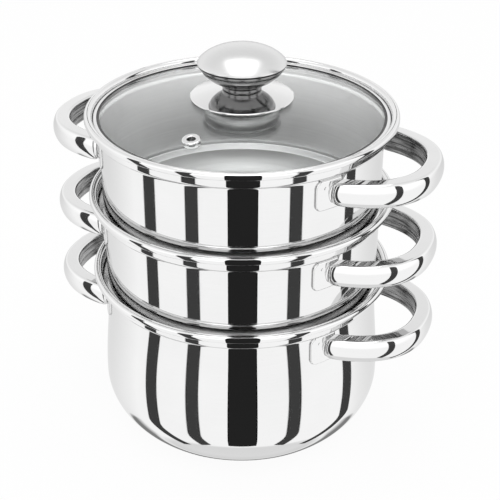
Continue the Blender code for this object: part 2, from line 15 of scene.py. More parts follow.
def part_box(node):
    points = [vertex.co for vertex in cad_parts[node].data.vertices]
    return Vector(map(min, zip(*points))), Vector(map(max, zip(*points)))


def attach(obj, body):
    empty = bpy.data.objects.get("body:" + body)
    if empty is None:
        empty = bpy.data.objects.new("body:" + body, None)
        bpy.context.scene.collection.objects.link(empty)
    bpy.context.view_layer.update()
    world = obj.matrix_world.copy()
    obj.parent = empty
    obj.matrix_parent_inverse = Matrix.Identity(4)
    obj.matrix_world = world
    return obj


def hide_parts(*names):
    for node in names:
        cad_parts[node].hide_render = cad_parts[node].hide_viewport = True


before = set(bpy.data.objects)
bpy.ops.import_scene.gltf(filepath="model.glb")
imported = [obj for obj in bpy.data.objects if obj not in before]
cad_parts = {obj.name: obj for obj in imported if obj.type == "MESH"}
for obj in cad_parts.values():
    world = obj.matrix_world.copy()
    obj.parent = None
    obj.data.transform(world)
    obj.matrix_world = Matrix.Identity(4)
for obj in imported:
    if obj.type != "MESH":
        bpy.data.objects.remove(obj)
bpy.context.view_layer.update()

# Camera: where it stands from the middle of the top lip, and which way it looks
CAMERA_BEARING = radians(23.2)
CAMERA_BACK = 0.6812
CAMERA_ABOVE = 0.2784
CAMERA_PITCH = radians(29.314)
CAMERA_YAW = radians(0.468)
CAMERA_ROLL = radians(0.317)
CAMERA_LENS_MM = 82.825
SENSOR_MM = 36.0

# Tier shells
SHEET = 0.0007
LIP_DROP = 0.0035
LIP_ROUND = 0.0018
LIP_INNER_ROUND = 0.0024
LIP_WIDTH = 0.00445
LEDGE_DEPTH = 0.01115
LEDGE_WIDTH = 0.0045
LEDGE_ROUND = 0.0014
WALL_ROUND = 0.0030
WALL_START = 0.0132
BELLY_SWELL = 0.0041
BELLY_DEPTH = 0.0822
BELLY_POWERS = (1.9, 0.635)
BASE_INSET = 0.0270
BASE_CAP_RISE = 0.0042
BASE_CREASE_HEIGHT = 0.0034
BASE_CREASE_WIDTH = 0.0004
BASE_CREASE_DEPTH = 0.0003
BASE_CAP_SHEET = 0.0008
BASE_CAP_INSIDE_SHARES = ((0.3, 1.0, 0.9), (0.65, 1.3, 0.5))
SEAT_GAP = 0.0003
FIT_GAP = 0.00045
BEAD_HEIGHT = 0.0026
BEAD_GAP = 0.00085
FOOT_DEPTH = 0.0053
FOOT_WIDTH = 0.0030
FLOOR_RAISE = 0.0034
FLOOR_INSET = 0.00765
PLATE_RADIUS = 0.036
FLOOR_EDGE = 0.084
FLOOR_SLOPE_SHARE = 0.25
HOLE_RADIUS = 0.0022
HOLE_RING_STEP = 0.0088
HOLE_RINGS = 3
HOLES_IN_FIRST_RING = 6
HOLE_EDGE = 0.00012

# Handles and their feet
TUBE_HEIGHT = 0.0152
TUBE_DEPTH = 0.0115
TUBE_CORNER = 0.0022
TUBE_FACE_RADIUS = 0.0134
LOOP_SPREAD = 0.0918
LOOP_SINK = 0.0232
TUBE_INSET = 0.0105
LOOP_POWER = 2.31
TUBE_END_SLANT = -0.34
SLANT_FADE = 0.020
END_TAPER_LENGTH = 0.0058
END_TAPER_INSET = 0.0012
TUBE_END_ROUND = 0.0009
SEAM_DEPTH = 0.00035
SEAM_WIDTH = 0.00040
SEAM_DROP_SHARE = 0.1
COLLAR_LENGTH = 0.0020
COLLAR_GAP = 0.0003
COLLAR_SHARE = 0.93
COLLAR_DROP_SHARES = (0.03, 0.02)
NECK_SHARE = 0.86
TAB_HEIGHT = 0.0196
TAB_THICKNESS = 0.0012
TAB_END_BEARING = radians(39.0)
TAB_START_BEARING = radians(27.4)
TAB_CORNER = 0.0048
TAB_EDGE = 0.0009
SPOT_RADIUS = 0.0013
SPOT_DEPTH = 0.00022
SPOT_SPACING = 0.0090
SPOT_INSET = 0.0072

# Lid and knob, with heights over the top lip
BAND_GAP = 0.0003
BAND_LIP = 0.0023
BAND_TOP_DEPTH = 0.0030
BAND_SHEET = 0.0006
BAND_ROUND = 0.0009
GLASS_THICKNESS = 0.0040
GLASS_RISE = 0.0122
GLASS_HOLE = 0.0036
GLASS_GAP = 0.0003
# Width of the dark ring painted on the glass's edge as the band's shade.
GLASS_SHADE_RING_WIDTH = 0.0015
VENT_INSET = 0.0269
VENT_BEARING = radians(-94.1)
VENT_FLANGE = 0.0058
VENT_HOLE = 0.0026
VENT_WALL = 0.0006
VENT_FLANGE_THICKNESS = 0.0012
KNOB_RADIUS = 0.0282
KNOB_EDGE_HEIGHT = 0.0298
KNOB_TOP_HEIGHT = 0.0407
KNOB_SHEET = 0.0008
KNOB_POWERS = (2.2, 0.75)
BOWL_EDGE_RADIUS = 0.0200
BOWL_EDGE_HEIGHT = 0.0205
BOWL_ROUND = 0.008
NECK_RADIUS = 0.0122
NECK_HEIGHT = 0.0152
SKIRT_RADIUS = 0.0327
SKIRT_RIM_HEIGHT = 0.0082
SKIRT_TOP_HEIGHT = 0.0128
SKIRT_SHEET = 0.0009
SKIRT_FLAT_MARGIN = 0.0004
INSERT_RADIUS = 0.0058
INSERT_LENGTH = 0.0100
SCREW_RADIUS = 0.0024
SCREW_HEAD_RADIUS = 0.0045
SCREW_HEAD_HEIGHT = 0.0026
GASKET_RADIUS = 0.0105
WASHER_RADIUS = 0.0235
WASHER_DEPTH = 0.0122
WASHER_SHEET = 0.0008
WASHER_ROUND = 0.0016
WASHER_RECESS_RADIUS = 0.0072
WASHER_RECESS_DEPTH = 0.0092
INNER_GASKET_WIDTH = 0.0024
INNER_GASKET_THICKNESS = 0.0012

# Mesh fineness
TURNED_SEGMENTS = 256
SMALL_SEGMENTS = 64
INSERT_SIDES = 6
ARC_STEPS = 8
EDGE_STEPS = 6
END_STEPS = 5
POT_ROWS = 56
BASE_ROWS = 8
BASE_ROW_SHARE = 0.12
GLASS_ROWS = 33
KNOB_ROWS = 48
SKIRT_ROWS = 24
TAB_ROWS = 64
TAB_COLUMNS = 64
SUPPORT = 0.00025
LOOP_STATIONS = 96
LOOP_END_DENSITY = 5.0
LOOP_END_SHARE = 0.03
SECTION_POINTS = 112
FACE_DENSITY = 1.5
CORNER_DENSITY = 5.0
SEAM_DENSITY = 9.0
SEAM_DENSITY_REACH = 3.0
INNER_FACE_SHARE = 0.9
FINE_POINTS = 1440
CORNER_POINTS = 180
WELD_DISTANCE = 1e-6
GLASS_CREASE = radians(40)
SCREW_CREASE = radians(35)

# Materials: noise scales per metre, or one for each axis, and (low, high) tones, dullness and spans of noise
CLOUD_SCALE = 22.0
WIPE_SCALES = (60, 60, 2600)
WIPE_TONES = (-0.008, 0.008)
WIPE_DULLNESS = (0.0, 0.02)
SMUDGE_SCALE = 60.0
SMUDGE_SPAN = (0.45, 0.8)
SMUDGE_DULLNESS = 0.03
WAVE_AXES = (1, 1, 0.6)
WAVE_SCALE = 90.0
WAVE_DEPTH = 0.000006
LINE_SCALE = 5200.0
COARSE_LINE_SCALE = 900.0
LINE_SHARE = 0.6
LINE_SPAN = (0.35, 0.65)
LINE_DEPTH = 0.00002
WANDER_SCALE = 35.0
LINE_WANDER = 0.0006
PATCH_SCALE = 30.0
PATCH_CHANGE = (-0.02, 0.02)
STREAK_SCALES = (45, 45, 800)
# Tones of the tube's inner face: raw steel, dark partly as painted shade.
STREAK_AND_SHADE_TONES = (0.06, 0.46)
STREAK_SPAN = (0.36, 0.68)
STREAK_DULLNESS = (0.18, 0.32)
STREAK_DEPTH = 0.00003
STAIN_SCALE = 110.0
STAIN_TONES = (-0.05, 0.08)
STAIN_DULLNESS = (-0.04, 0.06)
GLASS_TINTS = ((0.975, 0.99, 0.985, 1), (0.985, 0.995, 0.992, 1))
GLASS_INDEX = 1.5
MARK_SCALE = 45.0
MARK_SPAN = (0.5, 0.8)
MARK_DULLNESS = (0.0, 0.012)
SMEAR_SCALES = (18, 160, 1)
SMEAR_DULLNESS = (0.0, 0.006)
SMEAR_DEPTH = 0.000001

# Studio: a direction in it is a unit vector, so heights, widths and spans run from -1 to 1
WHITE = (1, 1, 1, 1)
STRIP_BEARINGS = np.radians((-40.5, 43.8, -79.1, 97.0, 180.0)).tolist()
STRIP_HALF_WIDTHS = (0.0845, 0.0845, 0.089, 0.083, 0.075)
STRIP_TOPS = (0.62, 0.62, 0.45, 0.72, -0.14)
STRIP_BOTTOM = -0.69
STRIP_BOTTOM_FALL = 0.58
STRIP_TOP_FADE = 0.45
STRIP_FOOT = 0.10
STRIP_SOFTNESS = 0.006
STRIP_NADIR_SHARE = 0.48
STRIP_FULL_LEVEL = 0.85
STRIP_GREYS = (0.050, 0.012)
STRIP_BORDER = 0.020
SKY_GREYS = (0.95, 0.68)
SKY_SPAN = (-0.5, 0.9)
SKY_GLOW = (0.20, 0.0)
SKY_GLOW_SPAN = (0.30, 0.80)
GROUND_GREYS = (0.96, 0.58)
GROUND_SPAN = (0.1, 0.95)
FOOT_GREYS = (0.74, 1.0)
FOOT_SPAN = (-0.90, -0.86)
TABLE_EDGE = (-0.84, -0.74)
TABLE_EDGE_GREY = 0.25
TABLE_EDGE_SPAN = (0.2, 0.4)
HORIZON_SPAN = (-0.12, 0.12)
GLOSS_LEVEL = 1.30

# Table top
TABLE_HALF_WIDTH = 6.0
TABLE_GREY = 0.9
TABLE_GLOW_SHARE = 0.93

# The dark card close in front of the pot, seen only in reflections
CARD_GAP = 0.020
CARD_HALF_WIDTH = 0.0133
CARD_SHIFT = 0.0009
CARD_TOP = 0.245
CARD_BOTTOM = 0.002
CARD_BORDER = 0.0011
CARD_GREYS = (0.022, 0.003)
CARD_WEAVE_SCALE = 900.0
CARD_WEAVE = (0.9, 1.1)

# Softbox over the pot
SOFTBOX_HEIGHT = 1.5
SOFTBOX_WIDTH = 0.92
SOFTBOX_DEPTH = 1.45
SOFTBOX_FORWARD = 0.08
SOFTBOX_LEVEL = 1.5

TIERS = ("pot", "middle_steamer", "top_steamer")
LIP_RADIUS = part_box("pot_body")[1].x - SHEET / 2
STEP_RADIUS = LIP_RADIUS - LIP_WIDTH
WALL_RADIUS = STEP_RADIUS - LEDGE_WIDTH
OUTER_WALL = WALL_RADIUS + SHEET / 2
LIP_HEIGHTS = {tier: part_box(f"{tier}_body")[1].z for tier in TIERS}
TOP_LIP = LIP_HEIGHTS["top_steamer"]
STEAMER_STEP = TOP_LIP - LIP_HEIGHTS["middle_steamer"]
POT_HEIGHT = LIP_HEIGHTS["pot"]
BAND_RADIUS = STEP_RADIUS - SHEET / 2 - BAND_GAP
DOME_RADIUS = BAND_RADIUS - BAND_LIP - GLASS_GAP
VENT_DISTANCE = DOME_RADIUS - VENT_INSET
RIGHT = Vector((cos(CAMERA_BEARING), sin(CAMERA_BEARING), 0))
AWAY = Vector((-sin(CAMERA_BEARING), cos(CAMERA_BEARING), 0))
SCREW_HOLE = SCREW_RADIUS + FIT_GAP
KNOB_PLATE = SKIRT_TOP_HEIGHT + SEAT_GAP + KNOB_SHEET / 2


# Node helpers
def new_tree(name, blocks=bpy.data.materials):
    """A material, or a world if asked, whose node tree is empty, and that tree."""
    block = blocks.new(name)
    block.use_nodes = True
    block.node_tree.nodes.clear()
    return block, block.node_tree


def put(tree, kind, inputs=None, **settings):
    """Adds a node, sets its properties, and sets or links its inputs by name or index."""
    node = tree.nodes.new(f"ShaderNode{kind}")
    for name, value in settings.items():
        setattr(node, name, value)
    for key, value in (inputs or {}).items():
        socket = node.inputs[key]
        if isinstance(value, bpy.types.NodeSocket):
            tree.links.new(value, socket)
        else:
            socket.default_value = value
    return node


def follow(kind, inputs, **settings):
    """Adds a node to the tree that holds the first linked input."""
    tree = next(value.id_data for value in inputs.values() if isinstance(value, bpy.types.NodeSocket))
    return put(tree, kind, inputs, **settings)


def sums(operation, *terms):
    """One Math node's result."""
    return follow("Math", dict(enumerate(terms)), operation=operation).outputs[0]


def add(first, second):
    return sums("ADD", first, second)


def times(first, second):
    return sums("MULTIPLY", first, second)


def noise(vector, scale=1.0, detail=3.0, roughness=0.5):
    inputs = {"Vector": vector, "Scale": scale, "Detail": detail, "Roughness": roughness}
    return follow("TexNoise", inputs).outputs[0]


def spread(value, low, high, from_low=0.25, from_high=0.75):
    """Maps a span, by default a noise's middle range, onto low to high."""
    inputs = {0: value, 1: from_low, 2: from_high, 3: low, 4: high}
    return follow("MapRange", inputs, clamp=True).outputs[0]


def grey(value):
    return follow("CombineColor", {0: value, 1: value, 2: value}).outputs[0]


def mixed(share, first, second):
    """A blend of two colours."""
    return follow("Mix", {0: share, 6: first, 7: second}, data_type="RGBA").outputs[2]


def stretched(tree, scales=(1, 1, 1)):
    """The object's own coordinates, scaled along each axis."""
    place = put(tree, "TexCoord").outputs["Object"]
    return follow("Mapping", {"Vector": place, "Scale": scales}).outputs[0]


def ring_lines(tree, scale):
    """Fine lines round the upright axis: noise over the height and the distance from the axis only."""
    place = put(tree, "TexCoord").outputs["Object"]
    parts = follow("SeparateXYZ", {0: place}).outputs
    flat = follow("CombineXYZ", {0: parts[0], 1: parts[1]}).outputs[0]
    radius = put(tree, "VectorMath", {0: flat}, operation="LENGTH").outputs["Value"]
    wander = noise(place, WANDER_SCALE, 2.0)
    across = sums("MULTIPLY_ADD", wander, LINE_WANDER, radius)
    upward = sums("MULTIPLY_ADD", wander, LINE_WANDER, parts[2])
    lines = follow("CombineXYZ", {0: across, 2: upward}).outputs[0]
    return noise(lines, scale, 4.0, 0.6)


def finish_shader(colour, dullness, height, depth, **constants):
    """A Principled shader with its colour, roughness and bump, and any other inputs by name."""
    inputs = {name.replace("_", " "): value for name, value in constants.items()}
    relief = follow("Bump", {"Height": height, "Strength": 1.0, "Distance": depth}).outputs[0]
    inputs.update({"Base Color": colour, "Roughness": dullness, "Normal": relief})
    follow("OutputMaterial", {0: follow("BsdfPrincipled", inputs).outputs[0]})


# Materials
def polished_steel(name, tones, dullness):
    """Mirror-polished steel: a faint orange-peel wave, hairline wipe marks and a few dull smudges."""
    material, tree = new_tree(name)
    cloud = noise(stretched(tree), CLOUD_SCALE)
    wipes = noise(stretched(tree, WIPE_SCALES), detail=2.0, roughness=0.6)
    smudge = noise(stretched(tree), SMUDGE_SCALE, 4.0, 0.65)
    tone = add(spread(cloud, *tones), spread(wipes, *WIPE_TONES))
    dull = spread(smudge, dullness, dullness + SMUDGE_DULLNESS, *SMUDGE_SPAN)
    dull = add(dull, spread(wipes, *WIPE_DULLNESS))
    wave = noise(stretched(tree, WAVE_AXES), WAVE_SCALE, 1.0)
    finish_shader(grey(tone), dull, wave, WAVE_DEPTH, Metallic=1.0)
    return material


def brushed_steel(name, tones, dullness):
    """Satin steel brushed round the upright axis."""
    material, tree = new_tree(name)
    lines = ring_lines(tree, LINE_SCALE)
    coarse = ring_lines(tree, COARSE_LINE_SCALE)
    patch = noise(stretched(tree), PATCH_SCALE)
    both = add(times(lines, LINE_SHARE), times(coarse, 1 - LINE_SHARE))
    tone = add(spread(both, *tones, *LINE_SPAN), spread(patch, *PATCH_CHANGE))
    dull = add(spread(lines, *dullness), spread(patch, *PATCH_CHANGE))
    tangent = put(tree, "Tangent", direction_type="RADIAL", axis="Z").outputs[0]
    finish_shader(grey(tone), dull, both, LINE_DEPTH, Metallic=1.0, Anisotropic=0.55, Tangent=tangent)
    return material


def shaded_raw_steel():
    """The unpolished inner face of a rolled tube, with drawing lines and heat stains; its dark tone is
    partly the raw steel and partly painted shade, where the face turns to the pot's wall.
    """
    material, tree = new_tree("tube_inner_steel_partly_shaded")
    streaks = noise(stretched(tree, STREAK_SCALES), roughness=0.6)
    stains = noise(stretched(tree), STAIN_SCALE, 4.0, 0.6)
    tone = add(spread(streaks, *STREAK_AND_SHADE_TONES, *STREAK_SPAN), spread(stains, *STAIN_TONES))
    dull = add(spread(streaks, *STREAK_DULLNESS), spread(stains, *STAIN_DULLNESS))
    finish_shader(grey(tone), dull, streaks, STREAK_DEPTH, Metallic=1.0)
    return material


def clear_glass():
    """Tempered glass: clear, a breath of green in its colour, wiped clean with a few faint marks."""
    material, tree = new_tree("clear_glass")
    marks = noise(stretched(tree), MARK_SCALE, 4.0, 0.6)
    smears = noise(stretched(tree, SMEAR_SCALES))
    colour = mixed(marks, *GLASS_TINTS)
    dull = add(spread(marks, *MARK_DULLNESS, *MARK_SPAN), spread(smears, *SMEAR_DULLNESS))
    finish_shader(colour, dull, smears, SMEAR_DEPTH, IOR=GLASS_INDEX, Transmission_Weight=1.0)
    return material


def grainy(name, scales, patch_tones, grain_tones, dullness, depth, **constants):
    """A plain matt material: fine grain over softer patches, by the noise scales of both."""
    material, tree = new_tree(name)
    grain = noise(stretched(tree), scales[0], 2.0)
    patch = noise(stretched(tree), scales[1])
    tone = add(spread(patch, *patch_tones), spread(grain, *grain_tones))
    finish_shader(grey(tone), spread(grain, *dullness), grain, depth, **constants)
    return material


POLISHED = polished_steel("polished_steel_mirror", tones=(0.70, 0.73), dullness=0.028)
# The knob's bowl and neck: a much darker copy of the polished steel, painted shade under the cap.
SHADED_STEM_STEEL = polished_steel("polished_steel_stem_painted_shade", tones=(0.20, 0.26), dullness=0.15)
CAP = polished_steel("polished_steel_cap", tones=(0.62, 0.65), dullness=0.24)
BRUSHED = brushed_steel("brushed_steel_inside", tones=(0.80, 0.96), dullness=(0.28, 0.38))
FLOOR_STEEL = brushed_steel("brushed_steel_floor", tones=(0.42, 0.60), dullness=(0.38, 0.48))
CUP = brushed_steel("brushed_steel_cup", tones=(0.54, 0.76), dullness=(0.40, 0.50))
SATIN = brushed_steel("satin_steel_small", tones=(0.58, 0.70), dullness=(0.20, 0.28))
RAW_AND_SHADE = shaded_raw_steel()
ALUMINIUM = grainy(
    "pressed_aluminium", scales=(1800.0, 60.0), patch_tones=(0.62, 0.72), grain_tones=(-0.03, 0.03),
    dullness=(0.38, 0.50), depth=0.00004, Metallic=1.0,
)
GLASS = clear_glass()
# Dark silicone for the seals; the same dark material is also painted shade in the base's crease and on the
# glass's edge under the band.
SILICONE_AND_PAINTED_SHADE = grainy(
    "dark_silicone_and_painted_shade", scales=(2400.0, 160.0), patch_tones=(0.035, 0.06), grain_tones=(0.0, 0.015),
    dullness=(0.48, 0.62), depth=0.00003,
)
SLOTS = dict.fromkeys((POLISHED, SHADED_STEM_STEEL, CAP, CUP), "polished_steel")
SLOTS.update({SATIN: "brushed_steel", ALUMINIUM: "aluminium", GLASS: "clear_glass", SILICONE_AND_PAINTED_SHADE: "silicone"})


# Mesh helpers
def linked(name, data):
    """A new object, put into the scene."""
    obj = bpy.data.objects.new(name, data)
    bpy.context.scene.collection.objects.link(obj)
    return obj


def place_piece(name, mesh, body, node):
    """Links a finished mesh as the piece that stands for a CAD node."""
    obj = linked(name, mesh)
    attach(obj, body)
    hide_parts(node)
    return obj


def rounded(corners, steps=ARC_STEPS):
    """A path through (radius, height, fillet) corners, whose fillets are arcs with support points beside."""
    path = []
    for k, (radius, height, fillet) in enumerate(corners):
        here = np.array((radius, height))
        if not fillet or k in (0, len(corners) - 1):
            path.append(here)
            continue
        ways = [np.array(corners[other][:2]) - here for other in (k - 1, k + 1)]
        lengths = [norm(way) for way in ways]
        ways = [way / length for way, length in zip(ways, lengths)]
        half = acos(np.clip(ways[0] @ ways[1], -1, 1)) / 2
        reach = fillet / tan(half)
        middle = ways[0] + ways[1]
        centre = here + middle / norm(middle) * fillet / sin(half)
        start, end = (atan2(*(here + way * reach - centre)[::-1]) for way in ways)
        sweep = (end - start + pi) % (2 * pi) - pi
        bend = list(arc(*centre, fillet, start, start + sweep, steps + 1))
        for place, way, length in zip((0, len(bend) + 1), ways, lengths):
            if length - reach > SUPPORT * 2:
                bend.insert(place, here + way * (reach + SUPPORT))
        path += bend
    return np.array(path)


def sides_of(path, thickness):
    """The two faces of a sheet whose middle line is the path: the left-hand one and the right-hand one."""
    along = np.gradient(path, axis=0)
    along /= norm(along, axis=1, keepdims=True)
    left = np.column_stack((-along[:, 1], along[:, 0]))
    left[path[:, 0] < WELD_DISTANCE] = (0, copysign(1, left[-1, 1]))
    return path + left * thickness / 2, path - left * thickness / 2


def grid_mesh(name, points, materials, picks=0, wrap_rows=False, caps=False):
    """A mesh over rows of points. Each row closes on itself, and the rows do too if asked.

    picks is the material's index: one for all faces, one for each row, or one for each face of each row.
    """
    rows, count = points.shape[:2]
    bands = rows if wrap_rows else rows - 1
    faces = []
    for i in range(bands):
        low = i * count
        high = (i + 1) % rows * count
        for j in range(count):
            following = (j + 1) % count
            faces.append((low + j, low + following, high + following, high + j))
    picks = np.reshape(picks, (-1, 1) if np.ndim(picks) == 1 else np.shape(picks))
    indices = (np.zeros((rows, count), int) + picks)[:bands].ravel().tolist()
    if caps:
        faces.append(tuple(range(count))[::-1])
        faces.append(tuple(range((rows - 1) * count, rows * count)))
        indices += [0, 0]
    mesh = bpy.data.meshes.new(name)
    mesh.from_pydata(points.reshape(-1, 3).tolist(), [], faces)
    for material in materials:
        mesh.materials.append(material)
    mesh.polygons.foreach_set("material_index", indices)
    tidy(mesh)
    return mesh


def tidy(mesh):
    """Welds coincident points, turns the faces outwards and shades the mesh smooth."""
    bm = bmesh.new()
    bm.from_mesh(mesh)
    bmesh.ops.remove_doubles(bm, verts=bm.verts, dist=WELD_DISTANCE)
    bmesh.ops.dissolve_degenerate(bm, edges=bm.edges, dist=WELD_DISTANCE)
    bmesh.ops.recalc_face_normals(bm, faces=bm.faces)
    bm.to_mesh(mesh)
    bm.free()
    mesh.shade_smooth()


def arc(centre_x, centre_y, radius, start, end, count):
    angle = np.linspace(start, end, count)
    return np.column_stack((centre_x + radius * np.cos(angle), centre_y + radius * np.sin(angle)))


def turned(name, outline, materials, height=0.0, picks=0, segments=TURNED_SEGMENTS):
    """A closed outline of (radius, height) points turned about the upright axis."""
    outline = np.asarray(outline)
    points = np.empty((len(outline), segments, 3))
    points[..., :2] = outline[:, 0, None, None] * arc(0, 0, 1, 0, 2 * pi, segments + 1)[:-1]
    points[..., 2] = outline[:, 1, None] + height
    return grid_mesh(name, points, materials, picks, wrap_rows=True)


def closed_outline(corners, steps=ARC_STEPS):
    """A closed outline whose every corner with a fillet is an arc."""
    wrapped = [corners[-1]] + list(corners) + [corners[0]]
    path = []
    for k in range(1, len(wrapped) - 1):
        path.extend(rounded(wrapped[k - 1 : k + 2], steps)[1:-1])
    return np.array(path)


def cut(obj, bm, crease):
    """Cuts a bmesh out of an object, applies the result and shades it smooth up to a crease angle."""
    tool = linked("tool", bpy.data.meshes.new("tool"))
    bm.to_mesh(tool.data)
    bm.free()
    modifier = obj.modifiers.new("cut", "BOOLEAN")
    modifier.operation = "DIFFERENCE"
    modifier.object = tool
    graph = bpy.context.evaluated_depsgraph_get()
    result = bpy.data.meshes.new_from_object(obj.evaluated_get(graph))
    obj.modifiers.clear()
    obj.data = result
    bpy.data.objects.remove(tool, do_unlink=True)
    result.shade_smooth()
    result.set_sharp_from_angle(angle=crease)


# Tier shells
def rim_corners():
    """The sheet's middle line from the lip's edge over its crest and down the step to the wall."""
    return [
        (LIP_RADIUS, -LIP_DROP, 0),
        (LIP_RADIUS, -SHEET / 2, LIP_ROUND),
        (STEP_RADIUS, -SHEET / 2, LIP_INNER_ROUND),
        (STEP_RADIUS, -LEDGE_DEPTH, LEDGE_ROUND),
        (WALL_RADIUS, -LEDGE_DEPTH, WALL_ROUND),
    ]


def belly_radius(depth):
    """The pot's outer radius at a depth under its lip."""
    if depth <= BELLY_DEPTH:
        share = max(0.0, (depth - WALL_START) / (BELLY_DEPTH - WALL_START))
        return OUTER_WALL + BELLY_SWELL * (1 - cos(share * pi)) / 2
    share = min(1.0, (depth - BELLY_DEPTH) / (POT_HEIGHT - BELLY_DEPTH))
    inner_power, outer_power = BELLY_POWERS
    return OUTER_WALL + BELLY_SWELL - BASE_INSET * (1 - (1 - share**inner_power) ** outer_power)


def shell_mesh(name, path, lip_height):
    """A turned sheet: polished on the lip and outside, brushed inside, with a duller floor."""
    left, right = sides_of(path, SHEET)
    if left[0, 0] < right[0, 0]:
        left, right = right, left
    crest_end = next(k for k, point in enumerate(path) if point[0] < STEP_RADIUS + WELD_DISTANCE)
    middle = (left[0] + right[0]) / 2
    edge = []
    for k in range(1, EDGE_STEPS):
        angle = pi * k / EDGE_STEPS
        edge.append(middle + (right[0] - middle) * cos(angle) - (0, SHEET / 2 * sin(angle)))
    outline = np.concatenate((left, right[::-1], edge))
    picks = [int(crest_end <= k < len(left)) for k in range(len(outline))]
    for k in range(crest_end, len(left) - 1):
        along = left[k + 1] - left[k]
        if abs(along[1]) < abs(along[0]) * FLOOR_SLOPE_SHARE and left[k, 0] < FLOOR_EDGE:
            picks[k] = 2
    return turned(name, outline, (POLISHED, BRUSHED, FLOOR_STEEL), lip_height, picks)


def pot_shell():
    """The pot's sheet, from its lip down the swelling wall to the flat floor."""
    seam_depth = POT_HEIGHT - BASE_CAP_RISE
    start = LEDGE_DEPTH + WALL_ROUND * 1.2
    path = list(rounded(rim_corners() + [(WALL_RADIUS, -start, 0)]))
    for k in range(1, POT_ROWS + 1):
        share = sin(k / POT_ROWS * pi / 2)
        depth = start + (seam_depth - SHEET / 2 - start) * share
        path.append(np.array((belly_radius(depth) - SHEET / 2, -depth)))
    floor_edge = path[-1][0] - SHEET * 2
    for radius in (floor_edge, floor_edge - SUPPORT, 0.0):
        path.append(np.array((radius, -seam_depth + SHEET / 2)))
    mesh = shell_mesh("pot_shell", np.array(path), POT_HEIGHT)
    place_piece("pot_shell", mesh, "pot", "pot_body")


def pot_base():
    """The steel cap under the pot, with the crease round it painted dark as painted shade, and the aluminium
    core inside.
    """
    seam = BASE_CAP_RISE
    shares = [1 - SEAT_GAP / seam - BASE_ROW_SHARE * k for k in range(BASE_ROWS)]
    outside = [(belly_radius(POT_HEIGHT - seam * share), seam * share) for share in shares]
    base = belly_radius(POT_HEIGHT)
    rim = outside[0][0]
    outside = [point for point in outside if abs(point[1] - BASE_CREASE_HEIGHT) > BASE_CREASE_WIDTH * 1.2]
    for side in (1, 0, -1):
        height = BASE_CREASE_HEIGHT + BASE_CREASE_WIDTH * side
        depth = 0 if side else BASE_CREASE_DEPTH
        outside.append((belly_radius(POT_HEIGHT - height) - depth, height))
    outside.sort(key=lambda point: -point[1])
    inside = [(0, BASE_CAP_SHEET), (base - BASE_CAP_SHEET, BASE_CAP_SHEET)]
    for share, inward, upward in BASE_CAP_INSIDE_SHARES:
        radius = belly_radius(POT_HEIGHT - seam * share)
        inside.append((radius - BASE_CAP_SHEET * inward, seam * share + BASE_CAP_SHEET * upward))
    inside.append((rim - BASE_CAP_SHEET * 1.6, seam - SEAT_GAP))
    outline = outside + [(base, 0), (base - SUPPORT, 0), (0, 0)] + inside
    flat = next(k for k, point in enumerate(outline) if point[1] == 0)
    picks = [int(k >= flat) for k in range(len(outline))]
    # The crease's faces take the dark material: painted shade in the groove.
    for k in range(flat):
        if abs((outline[k][1] + outline[k + 1][1]) / 2 - BASE_CREASE_HEIGHT) < BASE_CREASE_WIDTH:
            picks[k] = 2
    mesh = turned("base_cap", outline, (POLISHED, SATIN, SILICONE_AND_PAINTED_SHADE), 0.0, picks)
    place_piece("base_cap", mesh, "pot", "pot_base_cap")
    low = BASE_CAP_SHEET + SEAT_GAP
    high = seam - SEAT_GAP
    radius = base - BASE_CAP_SHEET - SEAT_GAP
    core = [(0, high), (radius, high), (radius, low), (0, low)]
    place_piece("base_core", turned("base_core", core, (ALUMINIUM,)), "pot", "pot_base_core")


def hole_places():
    """The steam holes' places: one in the middle and rings round it."""
    places = [(0.0, 0.0)]
    for ring in range(1, HOLE_RINGS + 1):
        places.extend(arc(0, 0, ring * HOLE_RING_STEP, 0, 2 * pi, HOLES_IN_FIRST_RING * ring + 1)[:-1])
    return places


def perforated_plate(height):
    """The flat middle of a steamer's floor: a filled flat curve with steam holes and softened edges."""
    curve = bpy.data.curves.new("plate", "CURVE")
    curve.dimensions = "2D"
    curve.fill_mode = "BOTH"
    curve.extrude = SHEET / 2 - HOLE_EDGE
    curve.bevel_depth = HOLE_EDGE
    curve.bevel_resolution = 1
    curve.offset = -HOLE_EDGE
    rings = [(0.0, 0.0, PLATE_RADIUS, TURNED_SEGMENTS)]
    rings += [(x, y, HOLE_RADIUS, SMALL_SEGMENTS // 2) for x, y in hole_places()]
    for x, y, radius, count in rings:
        spline = curve.splines.new("POLY")
        spline.points.add(count - 1)
        spline.use_cyclic_u = True
        for point, place in zip(spline.points, arc(x, y, radius, 0, 2 * pi, count + 1)):
            point.co = (*place, 0, 1)
    source = linked("plate", curve)
    graph = bpy.context.evaluated_depsgraph_get()
    mesh = bpy.data.meshes.new_from_object(source.evaluated_get(graph))
    bpy.data.objects.remove(source, do_unlink=True)
    mesh.transform(Matrix.Translation((0, 0, height)))
    return mesh


def joined(first, second, index):
    """One mesh holding both, the second with a material index of the first."""
    second.polygons.foreach_set("material_index", [index] * len(second.polygons))
    bm = bmesh.new()
    bm.from_mesh(first)
    bm.from_mesh(second)
    bm.to_mesh(first)
    bm.free()
    return first


